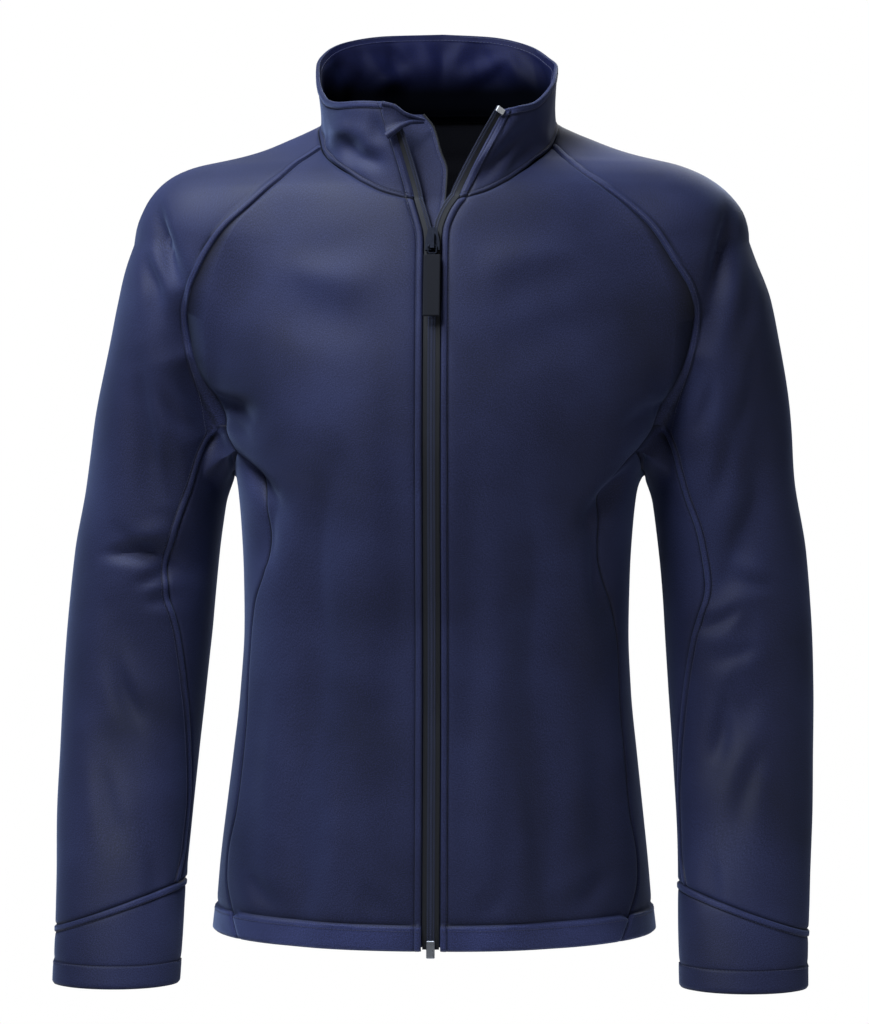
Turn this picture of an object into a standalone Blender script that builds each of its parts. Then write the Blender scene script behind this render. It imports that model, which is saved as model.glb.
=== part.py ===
"""Softshell jacket with raglan sleeves, as closed walls of cloth in their worn form.

The front faces -Y, up is +Z, and the wearer's left is +X. Tables and formulas are in millimetres, and a
mesh is written in metres. The origin is at the base of the neck, where the wearer's shoulders hold the
jacket. Body and arms are two smooth tubes, joined by a soft blend. Each panel is a grid of points
laid on that shape between its seams, and its wall is that grid and a copy of it moved inwards.
"""

import math

import bmesh
import bpy
import numpy as np

MM = 0.001  # metres in a millimetre

WALL = 1.8  # thickness of the bonded cloth
SEAM_GAP = 0.3  # clear space between two pieces at a seam
TAPE_WALL = 1.1  # thickness of the zip tape
HEM_Z = -714.5  # height of the body hem at the side
HEM_DROP = 5.0  # how much lower the hem is at the front and back
HEM_TAIL = 1.5  # how much more the back drops, and less the front
CUFF_END_Z = -753.5  # height of the sleeve end
CUFF_SEAM_Z = -684.5  # height of the slanted cuff seam, on the sleeve's own axis
CUFF_SEAM_SLOPE = -0.345  # its rise for each millimetre outwards
CUFF_SEAM_CLEAR = 30.0  # how far above it the sleeve seams' own points stop
SHOULDER_Z = -85.0  # height of the centre of the round shoulder
SHOULDER_CAP = 69.0  # how far the round shoulder rises above that centre
BLEND_HIGH = 46.0  # size of the soft blend between body and arm on the shoulder
BLEND_LOW = 20.0  # the same at the armpit
HEM_HALF_DEPTH = 140.0
RAGLAN_FRONT = 82.0  # angle round the neck where the front raglan seam starts, from the front
RAGLAN_BACK = 132.0  # the same for the back raglan seam
FULL_TURN = 360.0

# Cells of each panel's grid, along and across
RAGLAN_CELLS = 13
GUSSET_CELLS = 1
SIDE_SEAM_CELLS = 15
SLEEVE_SEAM_CELLS = 14
UNDERARM_CELLS = 4
FRONT_CELLS = 9
BACK_HALF_CELLS = 9
SLEEVE_CELLS = 12
CUFF_ROWS = 3
COLLAR_CELLS = 34
COLLAR_ROWS = 5

NAVY = (0.026, 0.029, 0.078)
NAVY_DARK = (0.017, 0.020, 0.050)
TAPE_GREY = (0.022, 0.024, 0.034)
GUNMETAL = (0.115, 0.12, 0.13)
STOP_WHITE = (0.75, 0.75, 0.75)
NICKEL = (0.55, 0.56, 0.58)
TAB_BLACK = (0.018, 0.018, 0.024)


def table(columns, rows):
    """Named columns of numbers from rows that are easy to read."""
    return dict(zip(columns.split(), np.array(rows, float).T))


# Horizontal sections of the body, from the hem up to the collar
TORSO = table("z half_width front back roundness", [
    (-760, 202, -146, 140, 2.30),
    (-700, 200, -144, 139, 2.30),
    (-662, 197, -141, 137, 2.30),
    (-607, 191, -136, 131, 2.30),
    (-552, 185, -131, 123, 2.30),
    (-497, 179, -127, 115, 2.35),
    (-440, 176, -127, 111, 2.40),
    (-386, 177, -131, 115, 2.40),
    (-350, 179, -134, 121, 2.40),
    (-313, 183, -136, 127, 2.40),
    (-280, 191, -137, 132, 2.35),
    (-250, 203, -136, 135, 2.30),
    (-200, 221, -132, 137, 2.20),
    (-140, 230, -122, 134, 2.15),
    (-100, 229, -113, 129, 2.10),
    (-60, 226, -101, 120, 2.05),
    (-40, 222, -91, 114, 2.05),
    (-30, 218, -82, 110, 2.0),
    (-15, 202, -62, 103, 2.0),
    (-9, 189, -52, 100, 2.0),
    (3, 162, -36, 95, 2.0),
    (10, 146, -30, 91, 2.0),
    (18, 127, -27, 87, 2.0),
    (26, 111, -24, 83, 2.0),
    (40, 98, -20, 76, 2.0),
])

# Horizontal sections of an arm, from the cuff up to the round shoulder
ARM = table("z x y half_width half_depth", [
    (-770, 280, -102, 56.5, 46),
    (-720, 280, -83, 57.5, 49),
    (-670, 281, -62, 59.0, 52),
    (-610, 282, -36, 61.5, 55),
    (-550, 281, -14, 64.0, 58),
    (-490, 279, 3, 66.0, 61),
    (-430, 276, 14, 67.5, 64),
    (-370, 271, 20, 67.5, 67),
    (-310, 262, 21, 66.5, 71),
    (-240, 253, 19, 68.0, 76),
    (-180, 240, 16, 70.5, 80),
    (-130, 226, 12, 73.5, 82),
    (-85, 209, 9, 74.5, 80),
])

# Sideways shift of the whole jacket, which stands a little askew as worn
LEAN = table("z shift", [
    (-740, -4.5), (-600, -3.5), (-500, -2.5), (-420, -1.5), (-310, -1), (-260, 1), (-200, 3), (-140, 3.5),
    (-100, 1.5), (-60, 2), (-40, 0), (-15, -3), (5, -1), (120, -1),
])

# Collar seam round the neck and collar rim, by the angle from the front
NECK = table("angle x y z", [
    (10, 17, -99, -54), (30, 42, -92, -49), (50, 66, -76, -40), (68, 90, -52, -23), (82, 105, -22, -2),
    (98, 110, 8, 18), (115, 103, 36, 29), (132, 86, 56, 34), (156, 48, 74, 37), (180, 0, 80, 38),
])
RIM_RIGHT = table("angle x y z", [
    (10, 44, -90, 33), (30, 66, -81, 35), (50, 86, -64, 36), (68, 100, -40, 41), (82, 111, -10, 60),
    (98, 114, 18, 81), (115, 108, 42, 96), (132, 92, 60, 107), (156, 52, 74, 115), (180, 0, 80, 117),
])
RIM_LEFT = table("angle x y z", [
    (10, 63, -82, 26), (30, 76, -74, 30), (50, 90, -58, 35), (68, 101, -36, 47), (82, 109, -8, 64),
    (98, 110, 18, 78), (115, 101, 42, 90), (132, 85, 60, 102), (156, 48, 74, 113), (180, 0, 80, 117),
])

# Seams as they look from the front or the back: distance from the middle, and height
RAGLAN_SEAM = table("x z", [
    (140, -32), (167, -55), (192, -79), (213, -112), (226, -137), (230, -155), (226, -180), (219, -205),
    (211, -225), (198, -256),
])
RAGLAN_SEAM_BACK = table("x z", [
    (112, 10), (140, -18), (166, -52), (188, -95), (202, -140), (208, -185), (205, -225), (196, -256),
])
GUSSET_POINT = table("x z", [(184, -279)])
SIDE_SEAM = table("x z", [
    (172, -292), (161, -308), (154, -326), (151.5, -350), (152.5, -373), (157, -395), (163, -418),
    (166, -445), (168, -480), (171, -530), (178, -600), (185, -640), (186, -662), (180, -690),
])
SIDE_SEAM_BACK = table("x z", [
    (170, -300), (160, -330), (154, -370), (154, -420), (158, -480), (166, -560), (174, -640), (176, -690),
])
HEM_SEAM_X = 170.0  # where both side seams meet the hem, from the middle
UNDERARM_MIDDLE = (188.0, 5.0, -292.0)  # middle of the underarm seam
SIDE_MIDDLE = (200.0, 0.0, HEM_Z)  # middle of the side panel's hem

# Sleeve seams: turn round the sleeve from its inner side, front and back
SLEEVE_SEAM = table("z front back", [
    (-690, 10, 14), (-640, 10, 16), (-580, 13, 20), (-506, 30, 30), (-447, 46, 38), (-400, 62, 44),
    (-358, 62, 46), (-318, 56, 46),
])

# Middle line of the upper sleeve inside the shoulder, and how far its rows lean over by the part of
# the raglan seam that they have passed
SHOULDER_BEND = [(72, 14, -62), (128, 12, -92), (180, 12, -128), (228, 15, -185)]
SHOULDER_LEAN = table("part degrees", [(0, 24), (0.3, 34), (0.6, 58), (1.0, 86), (1.2, 90)])
CUFF_TILT_START = 1.7  # the part at which rows start to tilt towards the slanted cuff seam
NECK_FADE_ROWS = 5.0  # rows over which the sleeve's top settles onto the collar seam

# Front edge beside the zip, which opens above the slider
EDGE_RIGHT = table("z x", [(-760, 8.3), (-96, 8.3), (-86, 9), (-70, 13), (-54, 18)])
EDGE_LEFT = table("z x", [(-760, 8.3), (-94, 8.3), (-83, 9), (-67, 14), (-52, 23)])

# Folds, one row each: troughs have a depth below nought, ridges above it. side is 1 for the wearer's
# left, -1 for the right and 0 for both, and face is -1 for the front and 1 for the back.
FOLDS = table("side face x0 z0 x1 z1 reach depth", [
    (-1, -1, 257, -62, 238, -130, 13, -4.0),
    (-1, -1, 277, -205, 254, -330, 17, -5.0),
    (-1, -1, 300, -366, 225, -380, 13, -5.5),
    (-1, -1, 296, -395, 240, -345, 20, 3.5),
    (-1, -1, 285, -425, 245, -490, 17, -4.0),
    (-1, -1, 302, -520, 268, -600, 20, -3.0),
    (1, -1, 264, -62, 243, -165, 14, -5.0),
    (1, -1, 306, -215, 283, -355, 17, -5.5),
    (1, -1, 283, -355, 246, -420, 15, -5.0),
    (1, -1, 300, -440, 262, -505, 18, 3.5),
    (1, -1, 296, -480, 250, -560, 16, -3.5),
    (-1, -1, 205, -232, 160, -248, 13, -5.0),
    (-1, -1, 184, -282, 140, -328, 13, -4.5),
    (-1, -1, 140, -328, 154, -385, 14, -3.5),
    (1, -1, 178, -292, 142, -342, 13, -4.5),
    (1, -1, 142, -342, 158, -430, 14, -3.5),
    (0, -1, 205, -120, 200, -225, 17, 4.0),
    (-1, -1, 105, -360, 118, -700, 27, -4.0),
    (-1, -1, 62, -330, 70, -700, 24, 3.0),
    (1, -1, 92, -340, 102, -700, 27, -4.0),
    (1, -1, 52, -420, 60, -700, 22, 3.0),
    (-1, -1, 150, -150, 60, -175, 24, -3.0),
    (1, -1, 150, -165, 55, -190, 24, -3.0),
    (0, 1, 150, -120, 95, -330, 26, -4.0),
    (-1, 1, 150, -410, 20, -450, 18, -4.5),
    (1, 1, 145, -445, 10, -425, 18, -4.5),
    (1, 1, 110, -500, 95, -700, 25, -4.0),
    (-1, 1, 120, -480, 108, -700, 25, -4.0),
    (0, 1, 285, -360, 230, -385, 15, -4.5),
    (0, 1, 262, -80, 246, -200, 18, -4.0),
    (-1, 1, 292, -430, 248, -490, 18, -3.5),
    (1, 1, 296, -450, 252, -520, 18, -3.5),
])

# Inner edge of the strip behind the zip, towards the wearer's left, and how far it lies behind
FLAP = table("z right behind", [
    (-715, 14, 4.2), (-300, 14, 4.2), (-110, 14, 4.2), (-86, 12, 5), (-69, 9, 7), (-50, 11, 10),
    (-28, 12, 13), (-10, 6, 15), (13, -1, 17), (24, -10, 17),
])
FLAP_WIDTH = 35.0
FLAP_CELLS = 3
FLAP_ROWS = 22

# Cowl at the top of the wearer's right tape: points of its top line and of its bottom line
GUARD = table("x0 y0 z0 x1 y1 z1", [
    (-46, -93.5, 33.5, -42, -97, 2), (-36, -95, 29, -36, -97.5, 6), (-26, -93.5, 22.5, -28, -96, 11.5),
    (-17, -90.5, 19.5, -19, -92, 15), (-9, -85, 17.5, -9.5, -85.5, 15.8),
])
GUARD_CELLS = 6
GUARD_BULGE = 1.5

NECK_EDGE_RIGHT = 10.7  # angle of the collar's front end on its seam, wearer's right
NECK_EDGE_LEFT = 15.0  # the same on the wearer's left
COLLAR_LIFT = 0.8  # from the collar seam up to the collar's own edge
COLLAR_WALL = 1.5
COLLAR_BOW = 3.0  # how far the collar pulls in between its seam and its rim
COLLAR_MIDDLE_Y = -8.0
NECK_FRONT_Z = -54.0
COLLAR_LEAN_BACK = 0.11  # how far the open front leans back for each millimetre up
FLAP_WALL = 1.5

TAPE_SHOWN = 8.2  # width of one zip tape beside the front's edge
TAPE_RECESS = 0.4
TAPE_GAP = 0.6  # from the cloth's edge to the tape
TAPE_LIFT = 1.5  # from the hem up to the tape's end

SLIDER_Z = -92.0
TILT_BELOW = 30.0  # stretch of the zip below and above the slider that sets its tilt
TILT_ABOVE = 12.0
SLIDER_OUTLINE = [(-6.4, -10.5), (6.4, -10.5), (6.4, -2.0), (3.6, 10.5), (-3.6, 10.5), (-6.4, -2.0)]
PLATE_BASE = 0.6  # from the tape's face out to the slider's plate
PLATE_TOP = 3.6
BRIDGE_WIDTH = 3.6
BRIDGE_LOW = -9.6
BRIDGE_HIGH = 5.0
BRIDGE_TOP = 7.6
BRIDGE_SUNK = 1.0  # how far the bridge's feet start in from the plate's underside
EYE = 3.0  # clear square hole through the bridge, for the ring
TUNNEL_WIDTH = 30.0  # width of its cutter, wider than the slider
HINGE_LOCAL_Z = -6.4
HINGE_OUT = 5.2
RING_WIDTH = 7.4
RING_HEIGHT = 7.6
RING_RADIUS = 0.9
RING_CORNER = 1.6
TAB_WIDTH = 15.0
TAB_LENGTH = 57.0
TAB_WALL = 2.6
TAB_BEVEL = 0.9
STOP_WIDTH = 7.5
STOP_HEIGHT = 5.0
STOP_WALL = 2.6
BOX_TOP_Z = -708.5
BOX_BOTTOM_Z = -724.0
BOX_WIDTH = 7.4
BOX_WALL = 2.8
BOX_GAP = 0.6
BOX_BEVEL = 0.6


def smooth(xs, ys, at):
    """Smooth curve through points, which never swings past them."""
    xs, ys = np.asarray(xs, float), np.asarray(ys, float)
    if xs[0] > xs[-1]:
        xs, ys = xs[::-1], ys[::-1]
    step = np.diff(xs)
    rise = np.diff(ys) / step
    slope = np.zeros(len(xs))
    same = rise[:-1] * rise[1:] > 0
    left, right = 2 * step[1:] + step[:-1], step[1:] + 2 * step[:-1]
    safe = np.where(same, rise[:-1] * rise[1:], 1.0)
    mean = (left + right) * safe / (left * rise[1:] + right * rise[:-1] + (~same) * 1e9)
    slope[1:-1] = np.where(same, mean, 0.0)
    slope[0], slope[-1] = rise[0], rise[-1]
    at = np.clip(at, xs[0], xs[-1])
    i = np.clip(np.searchsorted(xs, at, side="right") - 1, 0, len(step) - 1)
    t = (at - xs[i]) / step[i]
    return (ys[i] * (1 + 2 * t) * (1 - t) ** 2 + ys[i + 1] * t * t * (3 - 2 * t)
            + step[i] * (slope[i] * t * (1 - t) ** 2 - slope[i + 1] * t * t * (1 - t)))


def read(source, column, at, key="z"):
    """Value of a table's column at a height or angle."""
    return smooth(source[key], source[column], at)


def torso_distance(p):
    """Rough distance outside the body tube, below nought inside it."""
    x, y, z = np.abs(p[..., 0]), p[..., 1], p[..., 2]
    front, back = read(TORSO, "front", z), read(TORSO, "back", z)
    round_, half = read(TORSO, "roundness", z), (back - front) / 2
    y = np.abs(y - (front + back) / 2)
    reach = np.hypot(x, y) + 1e-9
    share = ((x / read(TORSO, "half_width", z)) ** round_ + (y / half) ** round_) ** (1 / round_)
    return reach * (1 - 1 / np.maximum(share, 1e-6))


def arm_distance(p):
    """Rough distance outside an arm tube with its round shoulder."""
    x, y, z = np.abs(p[..., 0]), p[..., 1], p[..., 2]
    width, depth = read(ARM, "half_width", z), read(ARM, "half_depth", z)
    rise = np.maximum(z - SHOULDER_Z, 0) / SHOULDER_CAP
    across, deep = (x - read(ARM, "x", z)) / width, (y - read(ARM, "y", z)) / depth
    share = np.sqrt(across ** 2 + deep ** 2 + rise ** 2)
    return (share - 1) * (width + depth) / 2


def distance(p):
    """Rough distance outside body and arms together."""
    body, arm = torso_distance(p), arm_distance(p)
    blend = np.interp(p[..., 2], [-250, -100], [BLEND_LOW, BLEND_HIGH])
    near = np.maximum(blend - np.abs(body - arm), 0) / blend
    return np.minimum(body, arm) - near ** 2 * blend / 4


def slope_of(p, shape=distance):
    """How the distance to a shape changes along X, Y and Z."""
    tiny = 0.5
    steps = np.eye(3) * tiny
    return np.stack([shape(p + s) - shape(p - s) for s in steps], -1) / (2 * tiny)


def outward(p):
    """Unit direction out of the cloth at points on it."""
    g = slope_of(p)
    return g / np.linalg.norm(g, axis=-1, keepdims=True)


def onto_cloth(p, shape=distance):
    """Points moved onto the nearest cloth, or onto one of the two tubes."""
    p = np.array(p, float)
    for _ in range(12):
        g = slope_of(p, shape)
        move = g * (shape(p) / (g ** 2).sum(-1))[..., None]
        length = np.linalg.norm(move, axis=-1, keepdims=True)
        p = p - move * np.minimum(1, 12 / np.maximum(length, 1e-9))
    return p


def cast(start, way, far=230.0, steps=92):
    """First point of the cloth along straight ways out of inner points."""
    way = way / np.linalg.norm(way, axis=-1, keepdims=True)
    reach = np.linspace(8, far, steps)
    line = start[..., None, :] + way[..., None, :] * reach[:, None]
    outside = distance(line) > 0
    first = np.argmax(outside, -1)
    low, high = reach[np.maximum(first - 1, 0)], reach[first]
    for _ in range(16):
        mid = (low + high) / 2
        out = distance(start + way * mid[..., None]) > 0
        low, high = np.where(out, low, mid), np.where(out, mid, high)
    return start + way * ((low + high) / 2)[..., None]


def seen(x, z, face):
    """Points of the cloth as they look from the front (face -1) or the back (face 1)."""
    x, z = np.broadcast_arrays(np.asarray(x, float), np.asarray(z, float))
    start = np.stack([x, np.full(x.shape, 10.0), z], -1)
    return cast(start, np.broadcast_to([0.0, face, 0.0], start.shape))


def through(points, cells):
    """Even points on a smooth curve through given ones."""
    points = np.asarray(points, float)
    reach = np.concatenate([[0], np.cumsum(np.linalg.norm(np.diff(points, axis=0), axis=1))])
    fine = np.linspace(0, reach[-1], 400)
    line = np.stack([smooth(reach, points[:, i], fine) for i in range(3)], -1)
    run = np.concatenate([[0], np.cumsum(np.linalg.norm(np.diff(line, axis=0), axis=1))])
    even = np.linspace(0, run[-1], cells + 1)
    return np.stack([np.interp(even, run, line[:, i]) for i in range(3)], -1)


def seam(points, cells):
    """Even points along a seam that lies on the cloth, with its given ends kept."""
    line = through(points, cells)
    line[1:-1] = onto_cloth(line[1:-1])
    return line


def neck(angle):
    """Points of the collar seam at angles from the front."""
    angle = np.asarray(angle, float)
    return onto_cloth(np.stack([read(NECK, c, angle, "angle") for c in "xyz"], -1))


def arm_centre(z):
    """Point on an arm's own axis."""
    z = np.asarray(z, float)
    return np.stack([read(ARM, "x", z), read(ARM, "y", z), z], -1)


def sleeve_point(turn, z, rise=0.0):
    """Point of the sleeve at a turn from its inner side, in a flat cut that may slope outwards."""
    turn, z = np.broadcast_arrays(np.radians(np.asarray(turn, float)), np.asarray(z, float))
    way = np.stack([-np.cos(turn), -np.sin(turn), -np.cos(turn) * rise], -1)
    return cast(arm_centre(z), way)


def patch(left, right, top, bottom, tube):
    """Grid between four sides, laid on a tube and then on the cloth. Rows run down, columns to the right."""
    along = np.linspace(0, 1, len(left))[:, None, None]
    across = np.linspace(0, 1, len(top))[None, :, None]
    grid = ((1 - across) * left[:, None] + across * right[:, None]
            + (1 - along) * top[None] + along * bottom[None]
            - (1 - along) * ((1 - across) * top[0] + across * top[-1])
            - along * ((1 - across) * bottom[0] + across * bottom[-1]))
    grid = onto_cloth(onto_cloth(grid, tube))
    grid[:, 0], grid[:, -1], grid[0], grid[-1] = left, right, top, bottom
    return grid


def fan(centre, over, front, back, cells):
    """Ways out of each centre, fanned from a front point over the outer side to a back point."""
    ahead = np.array([0.0, -1.0, 0.0])
    along = np.cross(over, ahead)

    def parts(point):
        v = point - centre
        out, forth = (v * over).sum(-1), v @ ahead
        return np.arctan2(forth, -out), (v * along).sum(-1) / np.hypot(out, forth)

    (start, start_lean), (end, end_lean) = parts(front), parts(back)
    share = np.linspace(0, 1, cells + 1)[None]
    angle = start[:, None] * (1 - share) + (end[:, None] + 2 * math.pi) * share
    lean = start_lean[:, None] * (1 - share) + end_lean[:, None] * share
    return (-np.cos(angle)[..., None] * over[:, None] + np.sin(angle)[..., None] * ahead
            + lean[..., None] * along[:, None])


def hem_z(y):
    """Height of the hem, lower at the back."""
    share = np.asarray(y) / HEM_HALF_DEPTH
    return HEM_Z - HEM_DROP * share ** 2 - HEM_TAIL * share


def hem_line(x, face):
    """Points of the hem at distances from the middle, in front or at the back."""
    rough = seen(x, HEM_Z, face)
    return seen(x, hem_z(rough[..., 1]), face)


def side_seams():
    """Every seam line of the wearer's left half, by name."""
    s = {}
    faces = (("front", -1, RAGLAN_FRONT, RAGLAN_SEAM, SIDE_SEAM),
             ("back", 1, RAGLAN_BACK, RAGLAN_SEAM_BACK, SIDE_SEAM_BACK))
    for name, face, start, raglan, side in faces:
        s["raglan_" + name] = seam([neck(start), *seen(raglan["x"], raglan["z"], face)], RAGLAN_CELLS)
        point = seen(GUSSET_POINT["x"], GUSSET_POINT["z"], face)[0]
        s["gusset_" + name] = seam([s["raglan_" + name][-1], point], GUSSET_CELLS)
        hem = hem_line(HEM_SEAM_X, face)
        s["side_" + name] = seam([point, *seen(side["x"], side["z"], face), hem], SIDE_SEAM_CELLS)
        turn = read(SLEEVE_SEAM, name, CUFF_SEAM_Z) * -face
        end = sleeve_point(turn, CUFF_SEAM_Z, CUFF_SEAM_SLOPE)
        rows = SLEEVE_SEAM["z"] > CUFF_SEAM_Z + CUFF_SEAM_CLEAR
        run = sleeve_point(SLEEVE_SEAM[name][rows] * -face, SLEEVE_SEAM["z"][rows])[::-1]
        s["sleeve_" + name] = seam([s["raglan_" + name][-1], *run, end], SLEEVE_SEAM_CELLS)
    ends = [s["gusset_front"][-1], s["gusset_back"][-1]]
    s["underarm"] = seam([ends[0], onto_cloth(np.array(UNDERARM_MIDDLE)), ends[1]], UNDERARM_CELLS)
    return s


def front_grid(s, edge, neck_start):
    """Front panel of the left half, from its zip edge to the raglan and side seams."""
    right = np.concatenate([s["raglan_front"], s["gusset_front"][1:], s["side_front"][1:]])
    top = neck(np.linspace(neck_start, RAGLAN_FRONT, FRONT_CELLS + 1))
    fall = (right[:, 2] - right[0, 2]) / (right[-1, 2] - right[0, 2])
    z = top[0, 2] + fall * (hem_z(-140.0) - top[0, 2])
    left = seen(read(edge, "x", z), z, -1)
    left[0] = top[0]
    x = np.linspace(left[-1, 0], right[-1, 0], FRONT_CELLS + 1)
    bottom = hem_line(x, -1)
    bottom[0], bottom[-1] = left[-1], right[-1]
    return patch(left, right, top, bottom, torso_distance)


def back_grid(s):
    """Whole back panel, from one side seam to the other."""
    right = np.concatenate([s["raglan_back"], s["gusset_back"][1:], s["side_back"][1:]])
    top = neck(np.linspace(180, RAGLAN_BACK, BACK_HALF_CELLS + 1))
    fall = (right[:, 2] - right[0, 2]) / (right[-1, 2] - right[0, 2])
    z = top[0, 2] + fall * (hem_z(140.0) - top[0, 2])
    left = seen(np.zeros(len(z)), z, 1)
    left[0] = top[0]
    x = np.linspace(0, right[-1, 0], BACK_HALF_CELLS + 1)
    bottom = hem_line(x, 1)
    bottom[0], bottom[-1] = left[-1], right[-1]
    half = patch(left, right, top, bottom, torso_distance)
    return np.concatenate([half[:, :0:-1] * [-1, 1, 1], half], axis=1)


def side_grid(s):
    """Side panel under the arm."""
    middle = onto_cloth(np.array(SIDE_MIDDLE))
    bottom = through([s["side_front"][-1], middle, s["side_back"][-1]], UNDERARM_CELLS)
    bottom[1:-1] = onto_cloth(bottom[1:-1])
    bottom[1:-1, 2] = hem_z(bottom[1:-1, 1])
    return patch(s["side_front"], s["side_back"], s["underarm"], bottom, torso_distance)


def cuff_turns(cells, outer):
    """Turns of the columns of a sleeve panel at the cuff seam."""
    front, back = (read(SLEEVE_SEAM, face, CUFF_SEAM_Z) for face in ("front", "back"))
    return np.linspace(front, FULL_TURN - back if outer else -back, cells + 1)


def upper_sleeve_grid(s):
    """Upper sleeve, over the shoulder and round the outer side of the arm."""
    front = np.concatenate([s["raglan_front"], s["sleeve_front"][1:]])
    back = np.concatenate([s["raglan_back"], s["sleeve_back"][1:]])
    rows = len(front)
    z = (front[:, 2] + back[:, 2]) / 2
    bend = through([*SHOULDER_BEND, arm_centre(z[RAGLAN_CELLS])], RAGLAN_CELLS)
    centre = np.concatenate([bend, arm_centre(z[RAGLAN_CELLS + 1:])])
    centre[-1] = arm_centre(CUFF_SEAM_Z)
    part = np.linspace(0, (rows - 1) / RAGLAN_CELLS, rows)
    lean = smooth(SHOULDER_LEAN["part"], SHOULDER_LEAN["degrees"], part)
    tilt = np.interp(part, [CUFF_TILT_START, part[-1]], [0, math.degrees(math.atan(CUFF_SEAM_SLOPE))])
    angle = np.radians(lean - tilt)
    over = np.stack([np.sin(angle), np.zeros(rows), np.cos(angle)], -1)
    ways = fan(centre, over, front, back, SLEEVE_CELLS)
    grid = cast(np.broadcast_to(centre[:, None], ways.shape), ways)
    top = neck(np.linspace(RAGLAN_FRONT, RAGLAN_BACK, SLEEVE_CELLS + 1))
    fade = np.clip(1 - np.arange(rows) / NECK_FADE_ROWS, 0, 1)[:, None, None] ** 2
    grid = onto_cloth(grid + fade * (top - grid[0])[None])
    grid[:, 0], grid[:, -1], grid[0] = front, back, top
    grid[-1] = sleeve_point(cuff_turns(SLEEVE_CELLS, True), CUFF_SEAM_Z, CUFF_SEAM_SLOPE)
    return grid


def under_sleeve_grid(s):
    """Under-sleeve panel on the inner side of the arm."""
    top = np.concatenate([s["gusset_front"], s["underarm"][1:], s["gusset_back"][-2::-1]])
    bottom = sleeve_point(cuff_turns(len(top) - 1, False), CUFF_SEAM_Z, CUFF_SEAM_SLOPE)
    return patch(s["sleeve_front"], s["sleeve_back"], top, bottom, arm_distance)


def cuff_grid(upper, under):
    """Ring of the sleeve end, which shares its top with both sleeve panels."""
    top = np.concatenate([upper[-1], under[-1, -2:0:-1]])
    ahead = arm_centre(CUFF_SEAM_Z) - top
    end = sleeve_point(np.degrees(np.arctan2(ahead[:, 1], ahead[:, 0])), CUFF_END_Z)
    share = np.linspace(0, 1, CUFF_ROWS + 1)[:, None, None]
    grid = onto_cloth(top[None] * (1 - share) + end[None] * share)
    grid[0], grid[-1] = top, end
    return grid


def folded(p):
    """Points moved out or in by the folds."""
    n = outward(p)
    move = np.zeros(p.shape[:-1])
    for i in range(len(FOLDS["side"])):
        f = {k: v[i] for k, v in FOLDS.items()}
        across = p[..., 0] * f["side"] if f["side"] else np.abs(p[..., 0])
        flat = np.stack([across - f["x0"], p[..., 2] - f["z0"]], -1)
        run = np.array([f["x1"] - f["x0"], f["z1"] - f["z0"]])
        along = np.clip(flat @ run / (run @ run), 0, 1)
        away = np.linalg.norm(flat - along[..., None] * run, axis=-1)
        facing = np.clip(n[..., 1] * f["face"] * 2.0, 0, 1)
        ends = np.sin(np.pi * (0.12 + 0.76 * along))
        move += f["depth"] * np.exp(-((away / f["reach"]) ** 2)) * facing * ends
    return p + n * move[..., None]


def inset(grid, sides, amount=SEAM_GAP / 2):
    """Grid with the named sides moved in by half a seam's gap."""
    grid = grid.copy()
    turned = {"top": lambda g: g, "bottom": lambda g: g[::-1],
              "left": lambda g: g.transpose(1, 0, 2), "right": lambda g: g[:, ::-1].transpose(1, 0, 2)}
    moves = []
    for side in sides:
        view = turned[side](grid)
        edge = view[0]
        run = np.gradient(edge, axis=0)
        run /= np.linalg.norm(run, axis=-1, keepdims=True)
        inwards = view[1] - edge
        inwards = inwards - (inwards * run).sum(-1, keepdims=True) * run
        moves.append((side, inwards / np.linalg.norm(inwards, axis=-1, keepdims=True) * amount))
    for side, move in moves:
        turned[side](grid)[0] += move
    return grid


def leaned(p):
    """Points with the sideways lean of shoulders and arms, which leaves the zip straight."""
    p = p.copy()
    share = np.clip((np.abs(p[..., 0]) - 20) / 120, 0, 1)
    p[..., 0] += read(LEAN, "shift", p[..., 2]) * share ** 2 * (3 - 2 * share)
    return p


def material(name, colour, roughness, metallic=0.0):
    """Principled material with one colour."""
    found = bpy.data.materials.get(name) or bpy.data.materials.new(name)
    found.use_nodes = True
    shader = found.node_tree.nodes["Principled BSDF"]
    shader.inputs["Base Color"].default_value = (*colour, 1.0)
    shader.inputs["Roughness"].default_value = roughness
    shader.inputs["Metallic"].default_value = metallic
    found.diffuse_color = (*colour, 1.0)
    return found


def finish(name, bm, finish_material, sharp=35):
    """Object from a mesh in metres, facing outwards."""
    bmesh.ops.recalc_face_normals(bm, faces=bm.faces)
    if bm.calc_volume(signed=True) < 0:
        bmesh.ops.reverse_faces(bm, faces=bm.faces)
    mesh = bpy.data.meshes.new(name)
    bm.to_mesh(mesh)
    bm.free()
    mesh.shade_smooth()
    mesh.set_sharp_from_angle(angle=math.radians(sharp))
    mesh.materials.append(finish_material)
    made = bpy.data.objects.new(name, mesh)
    bpy.context.scene.collection.objects.link(made)
    return made


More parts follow.
